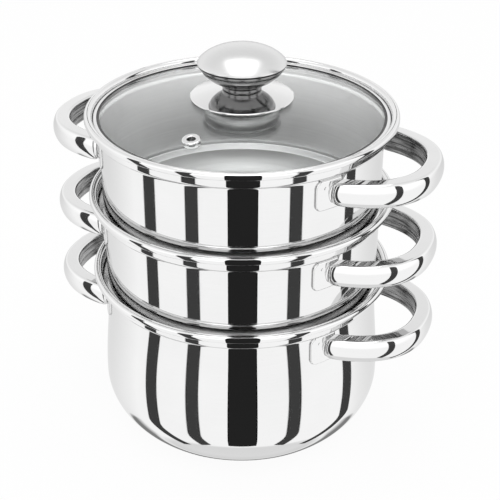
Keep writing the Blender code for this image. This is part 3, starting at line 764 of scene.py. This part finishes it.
def steamer_shell(tier):
    """A steamer's sheet: lip, wall, seat bead, spigot and foot ring, with the perforated floor joined in."""
    seat = STEAMER_STEP + LEDGE_DEPTH - SHEET - SEAT_GAP
    spigot = WALL_RADIUS - SHEET - FIT_GAP
    bead = STEP_RADIUS - SHEET - BEAD_GAP
    foot = seat + FOOT_DEPTH
    floor = foot - FLOOR_RAISE
    soft = SHEET * 0.7
    corners = rim_corners() + [
        (WALL_RADIUS, -seat + BEAD_HEIGHT, soft),
        (bead, -seat + BEAD_HEIGHT * 0.6, soft),
        (bead, -seat, soft),
        (spigot, -seat, soft),
        (spigot, -foot, SHEET * 1.4),
        (spigot - FOOT_WIDTH, -foot, SHEET * 1.4),
        (WALL_RADIUS - FLOOR_INSET, -floor, SHEET * 1.6),
        (PLATE_RADIUS, -floor, 0),
    ]
    lip_height = LIP_HEIGHTS[tier]
    mesh = shell_mesh(f"{tier}_shell", rounded(corners), lip_height)
    mesh = joined(mesh, perforated_plate(lip_height - floor), 2)
    place_piece(f"{tier}_shell", mesh, tier, f"{tier}_body")


# Handles
def signed_power(value, power):
    return np.sign(value) * np.abs(value) ** (2 / power)


def resampled(points, weights, count):
    """Points at equal weighted steps along a polyline."""
    steps = norm(np.diff(points, axis=0), axis=1) * (weights[1:] + weights[:-1]) / 2
    along = np.concatenate(((0.0,), np.cumsum(steps)))
    targets = np.linspace(0, along[-1], count)
    return np.column_stack([np.interp(targets, along, column) for column in points.T])


def tube_section():
    """The tube's section as (outwards, up) points: bowed outside, and flat inside with its rolled seam."""
    depth = TUBE_DEPTH / 2
    height = TUBE_HEIGHT / 2
    centre = depth - TUBE_FACE_RADIUS
    lean = asin((height - TUBE_CORNER) / (TUBE_FACE_RADIUS - TUBE_CORNER))
    outer = arc(centre, 0, TUBE_FACE_RADIUS, -lean, lean, FINE_POINTS)
    corner_x = centre + (TUBE_FACE_RADIUS - TUBE_CORNER) * cos(lean)
    shoulder = arc(corner_x, height - TUBE_CORNER, TUBE_CORNER, lean, pi / 2, CORNER_POINTS)[1:]
    top = arc(TUBE_CORNER - depth, height - TUBE_CORNER, TUBE_CORNER, pi / 2, pi, CORNER_POINTS)
    face = np.linspace(height - TUBE_CORNER, TUBE_CORNER - height, FINE_POINTS)[1:-1]
    inner = np.column_stack((np.full(len(face), -depth), face))
    seam_gap = (face + SEAM_DROP_SHARE * TUBE_HEIGHT) / SEAM_WIDTH
    inner[:, 0] += SEAM_DEPTH * np.exp(-(seam_gap**2))
    below = (1, -1)
    parts = (outer, shoulder, top, inner, top[::-1] * below, shoulder[::-1] * below, outer[:1])
    weights = [np.full(len(part), CORNER_DENSITY) for part in parts]
    weights[0][:] = FACE_DENSITY
    weights[3] = 1 + SEAM_DENSITY * np.exp(-((seam_gap / SEAM_DENSITY_REACH) ** 2))
    return resampled(np.concatenate(parts), np.concatenate(weights), SECTION_POINTS + 1)[:-1]


def loop_line(reach):
    """The tube's middle line in plan, from the front foot round to the back foot, and its directions."""
    centre = OUTER_WALL - LOOP_SINK
    out = reach - TUBE_DEPTH / 2 - centre
    angle = np.linspace(-pi / 2, pi / 2, FINE_POINTS + 1)
    line = np.column_stack((
        centre + out * signed_power(np.cos(angle), LOOP_POWER),
        LOOP_SPREAD / 2 * signed_power(np.sin(angle), LOOP_POWER),
    ))
    line = line[line[:, 0] > OUTER_WALL - TUBE_INSET]
    from_end = np.minimum(np.arange(len(line)), np.arange(len(line))[::-1]) / len(line)
    line = resampled(line, 1 + LOOP_END_DENSITY * np.exp(-from_end / LOOP_END_SHARE), LOOP_STATIONS)
    along = np.gradient(line, axis=0)
    along /= norm(along, axis=1, keepdims=True)
    return line, along


def tube_ring(middle, along, section, slant):
    """The section's points in space, leaning along the tube by slant."""
    outward = np.array((along[1], -along[0]))
    plan = middle + section[:, :1] * outward + section[:, :1] * slant * along
    return np.column_stack((plan, section[:, 1]))


def end_share(gap):
    """How full the section is at a distance from the tube's end, which is drawn in to meet its collar."""
    back = max(0.0, 1 - gap / END_TAPER_LENGTH)
    return 1 - 2 * END_TAPER_INSET * (1 - sqrt(1 - back**2)) / TUBE_HEIGHT


def outside_wall(rings, wall_radius):
    """The rings with each point kept just outside the wall."""
    wall = np.vectorize(wall_radius)(rings[..., 2]) + SEAT_GAP / 4
    rings[..., 0] = np.maximum(rings[..., 0], np.sqrt(wall**2 - rings[..., 1] ** 2))
    return rings


def handle_mesh(reach, wall_radius):
    """A tube with drawn-in, rounded ends that lean towards the wall, and an unpolished inner face darkened
    partly by painted shade.
    """
    section = tube_section()
    line, along = loop_line(reach)
    travelled = np.concatenate(((0.0,), np.cumsum(norm(np.diff(line, axis=0), axis=1))))
    rings = []
    for k in range(len(line)):
        gap = min(travelled[k], travelled[-1] - travelled[k])
        front = max(0.0, 1 - travelled[k] / SLANT_FADE)
        back = max(0.0, 1 - (travelled[-1] - travelled[k]) / SLANT_FADE)
        rings.append(tube_ring(line[k], along[k], section * end_share(gap), TUBE_END_SLANT * (front - back)))
    for end, sign in ((0, 1), (-1, -1)):
        for k in range(1, END_STEPS + 1):
            angle = pi / 2 * k / END_STEPS
            inset = END_TAPER_INSET + TUBE_END_ROUND * (1 - cos(angle))
            back = TUBE_END_ROUND * sin(angle)
            middle = line[end] - along[end] * back * sign
            share = 1 - 2 * inset / TUBE_HEIGHT
            ring = tube_ring(middle, along[end], section * share, TUBE_END_SLANT * sign)
            rings.insert(0 if sign > 0 else len(rings), ring)
    rings = outside_wall(np.array(rings), wall_radius)
    inner = section[:, 0] < -TUBE_DEPTH / 2 * INNER_FACE_SHARE
    picks = np.tile(inner & np.roll(inner, -1), (len(rings), 1))
    return grid_mesh("handle", rings, (POLISHED, RAW_AND_SHADE), picks, caps=True)


def collar_rings(reach, wall_radius):
    """Rings from the wall out to the tube's end: a neck coped to the wall, then a rounded collar."""
    section = tube_section() * end_share(0)
    line, along = loop_line(reach)
    foot_drop, rim_drop = COLLAR_DROP_SHARES
    foot = -COLLAR_LENGTH - COLLAR_GAP
    stations = [
        (-COLLAR_LENGTH - SPOT_INSET, NECK_SHARE),
        (foot - TUBE_END_ROUND, NECK_SHARE),
        (foot - TUBE_END_ROUND * 0.9, COLLAR_SHARE - foot_drop),
        (foot - TUBE_END_ROUND * 0.5, COLLAR_SHARE),
        (-COLLAR_GAP * 2 - TUBE_END_ROUND, COLLAR_SHARE),
        (-COLLAR_GAP - TUBE_END_ROUND, COLLAR_SHARE - rim_drop),
        (-COLLAR_GAP - TUBE_END_ROUND, NECK_SHARE),
    ]
    rings = []
    for offset, share in stations:
        rings.append(tube_ring(line[0] + along[0] * offset, along[0], section * share, TUBE_END_SLANT))
    return outside_wall(np.array(rings), wall_radius)


def tab_rise(place, up, beyond, end, length):
    """How far the tab stands off the wall: soft edges, rounded corners and two spot-weld dimples."""
    edge_gap = min(end - place, TAB_HEIGHT / 2 - abs(up))
    if beyond > 0 and place > length - TAB_CORNER:
        edge_gap = TAB_CORNER - hypot(beyond, place - (length - TAB_CORNER))
    fall = 1 - min(1.0, max(0.0, edge_gap) / TAB_EDGE)
    rise = TAB_THICKNESS * sqrt(1 - fall**2)
    for side in (-1, 1):
        gap = hypot(place - (length - SPOT_INSET), up - side * SPOT_SPACING / 2)
        rise -= SPOT_DEPTH * exp(-((gap / SPOT_RADIUS) ** 4))
    return max(rise, 0)


def tab_mesh(wall_radius):
    """The weld tab: a plate along the wall with a rounded end, closed by a back that follows the wall."""
    length = (TAB_END_BEARING - TAB_START_BEARING) * OUTER_WALL
    ups = -TAB_HEIGHT / 2 * np.cos(np.linspace(0, pi, TAB_ROWS))
    shares = (1 - np.cos(np.linspace(0, pi, TAB_COLUMNS))) / 2
    rows = np.empty((TAB_ROWS, TAB_COLUMNS * 2, 3))
    for i, up in enumerate(ups):
        wall = wall_radius(up) + SEAT_GAP / 4
        beyond = max(0.0, abs(up) - (TAB_HEIGHT / 2 - TAB_CORNER))
        end = length - (TAB_CORNER - sqrt(max(0.0, TAB_CORNER**2 - beyond**2)))
        for j, share in enumerate(shares):
            place = end * share
            angle = -TAB_START_BEARING - place / OUTER_WALL
            for k, radius in ((j, wall + tab_rise(place, up, beyond, end, length)), (-1 - j, wall)):
                rows[i, k] = (radius * cos(angle), radius * sin(angle), up)
    return grid_mesh("tab", rows, ())


def bracket_mesh(mirrored, reach, wall_radius):
    """A foot bracket at its handle's height: neck, collar and weld tab."""
    mesh = grid_mesh("bracket", collar_rings(reach, wall_radius), (POLISHED,), caps=True)
    joined(mesh, tab_mesh(wall_radius), 0)
    if mirrored:
        mesh.transform(Matrix.Scale(-1, 4, (0, 1, 0)))
        mesh.flip_normals()
    mesh.shade_smooth()
    return mesh


def handles():
    """Each tier's two handles and four brackets, the left side turned half round."""
    for tier in TIERS:
        low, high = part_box(f"{tier}_handle_right")
        height = (low.z + high.z) / 2
        depth = LIP_HEIGHTS[tier] - height

        def wall_radius(up, depth=depth, belly=tier == "pot"):
            return belly_radius(depth - up) if belly else OUTER_WALL

        tube = handle_mesh(high.x, wall_radius)
        brackets = [bracket_mesh(mirrored, high.x, wall_radius) for mirrored in (False, True)]
        for side, turn in (("right", 0.0), ("left", pi)):
            where = Matrix.Translation((0, 0, height)) @ Matrix.Rotation(turn, 4, "Z")
            mesh = tube.copy()
            mesh.transform(where)
            place_piece(f"{tier}_tube_{side}", mesh, tier, f"{tier}_handle_{side}")
            for end in ("front", "back"):
                mesh = brackets[(end == "back") != (side == "left")].copy()
                mesh.transform(where)
                place_piece(f"{tier}_foot_{side}_{end}", mesh, tier, f"{tier}_bracket_{side}_{end}")


# Lid
def lid_piece(name, outline, node, material, segments=TURNED_SEGMENTS):
    """A turned piece of the lid, its heights over the top lip."""
    mesh = turned(name, outline, (material,), TOP_LIP, segments=segments)
    return place_piece(name, mesh, "lid", node)


def turned_sheet(name, path, sheet, node, material):
    """A turned sheet of the lid, given by its middle line."""
    left, right = sides_of(np.asarray(path), sheet)
    lid_piece(name, np.concatenate((left, right[::-1])), node, material)


def glass_top(radius):
    """Height of the glass's upper face over the top lip."""
    edge = -BAND_TOP_DEPTH - BAND_SHEET - GLASS_GAP
    return edge + GLASS_RISE * max(0.0, 1 - (radius / DOME_RADIUS) ** 2)


def vent_place():
    """The vent's place on the glass, with its own Z square to the slope."""
    slope = atan(2 * GLASS_RISE * VENT_DISTANCE / DOME_RADIUS**2)
    place = Matrix.Translation((0, 0, TOP_LIP + glass_top(VENT_DISTANCE)))
    place = place @ Matrix.Rotation(VENT_BEARING, 4, "Z")
    return place @ Matrix.Translation((VENT_DISTANCE, 0, 0)) @ Matrix.Rotation(slope, 4, "Y")


def lid_glass():
    """The dome with its holes for the screw and the vent, and a ring of painted shade at its edge, where it
    meets the band.
    """
    edge_radius = BAND_RADIUS - BAND_SHEET - GLASS_GAP
    radii = np.linspace(GLASS_HOLE, DOME_RADIUS, GLASS_ROWS)
    bead = DOME_RADIUS - GLASS_SHADE_RING_WIDTH
    radii = np.concatenate((radii[:-1], (bead, DOME_RADIUS, edge_radius)))
    top = np.array([(radius, glass_top(radius)) for radius in radii])
    outline = np.concatenate((top, top[::-1] - (0, GLASS_THICKNESS)))
    # The outer edge's faces take the dark material: painted shade under the band.
    picks = np.minimum(outline[:, 0], np.roll(outline[:, 0], -1)) >= bead
    mesh = turned("glass_dome", outline, (GLASS, SILICONE_AND_PAINTED_SHADE), TOP_LIP, picks)
    obj = place_piece("glass_dome", mesh, "lid", "lid_glass")
    bm = bmesh.new()
    radius = VENT_HOLE + VENT_WALL + GLASS_GAP
    sizes = {"radius1": radius, "radius2": radius, "depth": GLASS_THICKNESS * 3}
    middle = vent_place() @ Matrix.Translation((0, 0, -GLASS_THICKNESS / 2))
    bmesh.ops.create_cone(bm, cap_ends=True, segments=SMALL_SEGMENTS, matrix=middle, **sizes)
    cut(obj, bm, GLASS_CREASE)


def lid_band():
    """The steel band: a rounded channel round the glass's edge, open inwards."""
    bottom = -LEDGE_DEPTH + SHEET / 2 + SEAT_GAP + BAND_SHEET / 2
    high = -BAND_TOP_DEPTH - BAND_SHEET / 2
    outer = BAND_RADIUS - BAND_SHEET / 2
    inner = BAND_RADIUS - BAND_LIP
    corners = [
        (inner, high - SUPPORT, 0),
        (inner + SUPPORT, high, SUPPORT / 2),
        (outer, high, BAND_ROUND),
        (outer, bottom, BAND_ROUND),
        (inner, bottom, 0),
    ]
    turned_sheet("lid_band", rounded(corners), BAND_SHEET, "lid_rim_band", POLISHED)


def vent():
    """The vent's eyelet: a flanged barrel through the glass, square to its slope."""
    above = GLASS_GAP
    below = -GLASS_THICKNESS - GLASS_GAP
    lip = VENT_FLANGE_THICKNESS
    barrel = VENT_HOLE + VENT_WALL
    corners = [
        (VENT_HOLE, above + lip, VENT_WALL),
        (VENT_FLANGE, above + lip, lip * 0.7),
        (VENT_FLANGE, above, 0),
        (barrel, above, 0),
        (barrel, below, 0),
        (VENT_FLANGE - VENT_WALL, below, 0),
        (VENT_FLANGE - VENT_WALL, below - lip / 2, VENT_WALL / 2),
        (VENT_HOLE, below - lip / 2, VENT_WALL / 2),
    ]
    mesh = turned("vent_ring", closed_outline(corners), (POLISHED,), segments=SMALL_SEGMENTS)
    mesh.transform(vent_place())
    place_piece("vent_ring", mesh, "lid", "vent_eyelet")


# Knob
def knob_dome():
    half = KNOB_SHEET / 2
    rise = KNOB_TOP_HEIGHT - KNOB_EDGE_HEIGHT - half
    inner_power, outer_power = KNOB_POWERS
    path = []
    for k in range(KNOB_ROWS + 1):
        share = cos(pi / 2 * k / KNOB_ROWS)
        height = KNOB_EDGE_HEIGHT + rise * (1 - share**inner_power) ** outer_power
        path.append(((KNOB_RADIUS - half) * share, height))
    turned_sheet("knob_dome", path, KNOB_SHEET, "knob_cap", CAP)


def knob_stem():
    """The knob's tapered bowl, its neck and the floor that the screw clamps."""
    half = KNOB_SHEET / 2
    middle_radius = (KNOB_RADIUS + BOWL_EDGE_RADIUS) / 2 - half
    middle_height = (KNOB_EDGE_HEIGHT + BOWL_EDGE_HEIGHT) / 2 - half * 4
    corners = [
        (KNOB_RADIUS - half * 2, KNOB_EDGE_HEIGHT - KNOB_SHEET - SEAT_GAP, 0),
        (middle_radius, middle_height, BOWL_ROUND),
        (BOWL_EDGE_RADIUS, BOWL_EDGE_HEIGHT, half * 2),
        (NECK_RADIUS, NECK_HEIGHT + half * 2, half * 6),
        (NECK_RADIUS, KNOB_PLATE, half * 1.5),
        (SCREW_HOLE, KNOB_PLATE, 0),
    ]
    # Its steel is the darkened copy: painted shade under the cap.
    turned_sheet("knob_stem", rounded(corners), KNOB_SHEET, "knob_bowl", SHADED_STEM_STEEL)


def knob_disc():
    """The polished disc under the knob, flat under the neck and falling in a bow to its rim."""
    flat = NECK_RADIUS + SKIRT_FLAT_MARGIN
    fall = SKIRT_TOP_HEIGHT - SKIRT_RIM_HEIGHT
    centre = SKIRT_TOP_HEIGHT - SKIRT_SHEET / 2
    path = []
    for k in range(SKIRT_ROWS + 1):
        radius = flat + (SKIRT_RADIUS - flat) * (1 - k / SKIRT_ROWS)
        path.append((radius, centre - fall * (radius**2 - flat**2) / (SKIRT_RADIUS**2 - flat**2)))
    path.append((SCREW_HOLE, centre))
    turned_sheet("knob_disc", path, SKIRT_SHEET, "knob_skirt", POLISHED)


def knob_boss():
    """The six-sided threaded insert in the knob. Returns the height at which its bore ends."""
    low = KNOB_PLATE + KNOB_SHEET / 2 + SEAT_GAP
    high = low + INSERT_LENGTH
    bore = SCREW_RADIUS + SEAT_GAP
    bore_end = high - SCREW_RADIUS
    outside = [(0, high), (INSERT_RADIUS, high), (INSERT_RADIUS, low)]
    inside = [(bore, low), (bore, bore_end), (0, bore_end)]
    lid_piece("knob_boss", outside + inside, "knob_insert", SATIN, INSERT_SIDES).data.shade_flat()
    return bore_end


# Fastening through the glass
def seal(name, node, inner, outer, low, high):
    """A silicone washer with softened edges."""
    soft = (high - low) / 4
    corners = [(outer, high, soft), (outer, low, soft), (inner, low, soft), (inner, high, soft)]
    lid_piece(name, closed_outline(corners, ARC_STEPS // 2), node, SILICONE_AND_PAINTED_SHADE, SMALL_SEGMENTS)


def seals():
    """The washer over the glass and the ring under it. Returns the height of the ring's lower face."""
    high = SKIRT_TOP_HEIGHT - SKIRT_SHEET - SEAT_GAP
    seal("seal_above", "knob_gasket", SCREW_HOLE, GASKET_RADIUS, glass_top(0) + SEAT_GAP, high)
    high = glass_top(WASHER_RADIUS) - GLASS_THICKNESS - SEAT_GAP
    low = high - INNER_GASKET_THICKNESS
    seal("seal_below", "lid_inner_gasket", WASHER_RADIUS - INNER_GASKET_WIDTH, WASHER_RADIUS, low, high)
    return low


def cup_washer(rim):
    """The cup under the glass, recessed for the screw's head. Returns the height of the recess."""
    bottom = rim - WASHER_DEPTH + WASHER_SHEET / 2
    recess = bottom + WASHER_RECESS_DEPTH
    wall = WASHER_RADIUS - WASHER_SHEET / 2
    cup = [
        (wall, rim, 0),
        (wall, bottom, WASHER_ROUND),
        (WASHER_RECESS_RADIUS, bottom, WASHER_ROUND / 2),
        (WASHER_RECESS_RADIUS, recess, WASHER_ROUND / 2),
        (SCREW_HOLE, recess, 0),
    ]
    turned_sheet("washer_below", rounded(cup), WASHER_SHEET, "lid_inner_washer", CUP)
    return recess


def screw(bore_end, recess):
    """The screw from the cup's recess up into the insert, with a cross cut into its head."""
    high = recess - WASHER_SHEET / 2 - SEAT_GAP
    low = high - SCREW_HEAD_HEIGHT
    corners = [
        (0, bore_end - SEAT_GAP, 0),
        (SCREW_RADIUS, bore_end - SEAT_GAP, SCREW_RADIUS / 4),
        (SCREW_RADIUS, high, 0),
        (SCREW_HEAD_RADIUS, high, SCREW_RADIUS / 6),
        (SCREW_HEAD_RADIUS, low, SCREW_HEAD_HEIGHT * 0.7),
        (0, low, 0),
    ]
    obj = lid_piece("screw", closed_outline(corners), "knob_screw", SATIN, SMALL_SEGMENTS)
    bm = bmesh.new()
    arm = SCREW_HEAD_RADIUS * 1.1
    width = SCREW_HEAD_RADIUS * 0.24
    for size in ((arm, width), (width, arm)):
        where = Matrix.Translation((0, 0, TOP_LIP + low)) @ Matrix.Diagonal((*size, SCREW_HEAD_HEIGHT, 1))
        bmesh.ops.create_cube(bm, size=1, matrix=where)
    cut(obj, bm, SCREW_CREASE)


# Camera, studio and floor
def camera():
    """The photograph's camera."""
    up = Vector((0, 0, 1))
    forward = (RIGHT * sin(CAMERA_YAW) + AWAY * cos(CAMERA_YAW)) * cos(CAMERA_PITCH) - up * sin(CAMERA_PITCH)
    level = forward.cross(up).normalized()
    over = level.cross(forward)
    side = level * cos(CAMERA_ROLL) + over * sin(CAMERA_ROLL)
    top = over * cos(CAMERA_ROLL) - level * sin(CAMERA_ROLL)
    place = Vector((0, 0, TOP_LIP + CAMERA_ABOVE)) - AWAY * CAMERA_BACK
    data = bpy.data.cameras.new("camera")
    data.lens = CAMERA_LENS_MM
    data.sensor_width = SENSOR_MM
    obj = linked("camera", data)
    turn = Matrix((side, top, -forward)).transposed().to_4x4()
    obj.matrix_world = Matrix.Translation(place) @ turn
    bpy.context.scene.camera = obj


def along(place, direction):
    """How far each direction of the studio points along a given one."""
    inputs = {0: place, 1: direction}
    return follow("VectorMath", inputs, operation="DOT_PRODUCT").outputs["Value"]


def strips(place, height):
    """How dark the upright strips make each direction: 1 at their borders, a little less within them."""
    inner_grey, border_grey = STRIP_GREYS
    level = sums("SQRT", sums("SUBTRACT", 1.0, times(height, height)))
    foot = sums("SQRT", sums("MINIMUM", sums("DIVIDE", level, STRIP_FOOT), 1.0))
    sideways = sums("ABSOLUTE", along(place, RIGHT))
    over_foot = sums("MULTIPLY_ADD", sideways, STRIP_BOTTOM_FALL, height)
    above = spread(over_foot, 0.0, 1.0, STRIP_BOTTOM - STRIP_SOFTNESS, STRIP_BOTTOM + STRIP_SOFTNESS)
    dark = 0.0
    for bearing, half_width, top in zip(STRIP_BEARINGS, STRIP_HALF_WIDTHS, STRIP_TOPS):
        towards = RIGHT * sin(bearing) - AWAY * cos(bearing)
        across = RIGHT * cos(bearing) + AWAY * sin(bearing)
        offset = sums("ABSOLUTE", along(place, across))
        widening = half_width * (1 - STRIP_NADIR_SHARE) / STRIP_FULL_LEVEL
        width = sums("MULTIPLY_ADD", level, widening, half_width * STRIP_NADIR_SHARE)
        taper = sums("SQRT", spread(height, 1.0, 0.0, top - abs(top) * STRIP_TOP_FADE, top))
        inside = sums("SUBTRACT", times(times(width, taper), foot), offset)
        strip = spread(inside, 0.0, 1.0, -STRIP_SOFTNESS, STRIP_SOFTNESS)
        within = (1 - inner_grey) / (1 - border_grey)
        strip = times(strip, spread(inside, 1.0, within, STRIP_BORDER / 2, STRIP_BORDER))
        facing = spread(along(place, towards), 0.0, 1.0, 0.0, STRIP_SOFTNESS)
        below = sums("LESS_THAN", height, top)
        strip = times(times(strip, facing), times(above, below))
        dark = sums("MAXIMUM", dark, strip)
    return dark


def studio():
    """A pale studio, greyer beyond the pot, with dark upright strips that the polished steel mirrors."""
    bpy.context.scene.world, tree = new_tree("studio", bpy.data.worlds)
    place = put(tree, "TexCoord").outputs["Generated"]
    height = follow("SeparateXYZ", {0: place}).outputs[2]
    beyond = along(place, AWAY)

    sky = add(spread(beyond, *SKY_GREYS, *SKY_SPAN), spread(height, *SKY_GLOW, *SKY_GLOW_SPAN))
    ground = times(spread(beyond, *GROUND_GREYS, *GROUND_SPAN), spread(height, *FOOT_GREYS, *FOOT_SPAN))
    low, high = TABLE_EDGE
    soft = (high - low) / 4
    edge = times(spread(height, 0.0, 1.0, low - soft, low), spread(height, 1.0, 0.0, high, high + soft))
    edge = times(edge, spread(beyond, 0.0, 1.0 - TABLE_EDGE_GREY, *TABLE_EDGE_SPAN))
    ground = times(ground, sums("SUBTRACT", 1.0, edge))
    upward = spread(height, 0.0, 1.0, *HORIZON_SPAN)
    downward = sums("SUBTRACT", 1.0, upward)
    tone = add(times(sky, upward), times(ground, downward))
    tone = times(tone, spread(strips(place, height), 1.0, STRIP_GREYS[1], 0.0, 1.0))

    path = put(tree, "LightPath").outputs
    through = times(path["Is Transmission Ray"], sums("LESS_THAN", height, 0.0))
    straight = sums("MAXIMUM", path["Is Camera Ray"], through)
    seen = mixed(straight, grey(tone), WHITE)
    gloss = sums("MULTIPLY_ADD", path["Is Glossy Ray"], GLOSS_LEVEL - 1, 1.0)
    background = follow("Background", {"Color": seen, "Strength": gloss})
    follow("OutputWorld", {0: background.outputs[0]})


def panel(name, corners, material):
    """A flat four-cornered object."""
    mesh = bpy.data.meshes.new(name)
    mesh.from_pydata(corners, [], [(0, 1, 2, 3)])
    mesh.materials.append(material)
    return linked(name, mesh)


def floor():
    """A white table top that keeps a faint soft shadow and shows in no reflection."""
    material, tree = new_tree("table_top_white")
    path = put(tree, "LightPath").outputs
    matte = put(tree, "BsdfDiffuse", {"Color": (TABLE_GREY, TABLE_GREY, TABLE_GREY, 1)})
    glow = put(tree, "Emission", {"Color": WHITE, "Strength": 1.0})
    seen = sums("MAXIMUM", path["Is Camera Ray"], path["Is Transmission Ray"])
    share = times(seen, TABLE_GLOW_SHARE)
    blend = follow("MixShader", {0: share, 1: matte.outputs[0], 2: glow.outputs[0]})
    follow("OutputMaterial", {0: blend.outputs[0]})
    size = TABLE_HALF_WIDTH
    corners = [(-size, -size, 0), (size, -size, 0), (size, size, 0), (-size, size, 0)]
    obj = panel("table_top", corners, material)
    obj.visible_glossy = False


def card():
    """A narrow dark card with a black border, upright in front of the pot, which only reflections show."""
    half = CARD_HALF_WIDTH
    material, tree = new_tree("card_black")
    place = put(tree, "TexCoord").outputs["Object"]
    across = sums("ABSOLUTE", follow("SeparateXYZ", {0: place}).outputs[0])
    tone = spread(across, *CARD_GREYS, half - CARD_BORDER, half - CARD_BORDER / 2)
    weave = spread(noise(place, CARD_WEAVE_SCALE, 2.0), *CARD_WEAVE)
    glow = follow("Emission", {"Color": grey(times(tone, weave))})
    follow("OutputMaterial", {0: glow.outputs[0]})
    corners = [(-half, 0, CARD_BOTTOM), (half, 0, CARD_BOTTOM), (half, 0, CARD_TOP), (-half, 0, CARD_TOP)]
    obj = panel("dark_card", corners, material)
    obj.location = RIGHT * CARD_SHIFT - AWAY * (OUTER_WALL + CARD_GAP)
    obj.rotation_euler.z = CAMERA_BEARING
    for ray in ("camera", "diffuse", "transmission", "shadow"):
        setattr(obj, f"visible_{ray}", False)


def softbox():
    """A level rectangular lamp over the pot, turned with the camera."""
    data = bpy.data.lights.new("top_softbox", "AREA")
    data.shape = "RECTANGLE"
    data.size = SOFTBOX_WIDTH
    data.size_y = SOFTBOX_DEPTH
    data.energy = SOFTBOX_LEVEL * pi * SOFTBOX_WIDTH * SOFTBOX_DEPTH
    obj = linked("top_softbox", data)
    obj.location = Vector((0, 0, SOFTBOX_HEIGHT)) - AWAY * SOFTBOX_FORWARD
    obj.rotation_euler.z = CAMERA_BEARING


pot_shell()
pot_base()
for steamer in TIERS[1:]:
    steamer_shell(steamer)
handles()
lid_glass()
lid_band()
vent()
knob_dome()
knob_stem()
knob_disc()
insert_bore_end = knob_boss()
ring_bottom = seals()
cup_recess = cup_washer(ring_bottom - SEAT_GAP)
screw(insert_bore_end, cup_recess)
camera()
studio()
floor()
card()
softbox()
bpy.context.scene.view_settings.view_transform = "Standard"
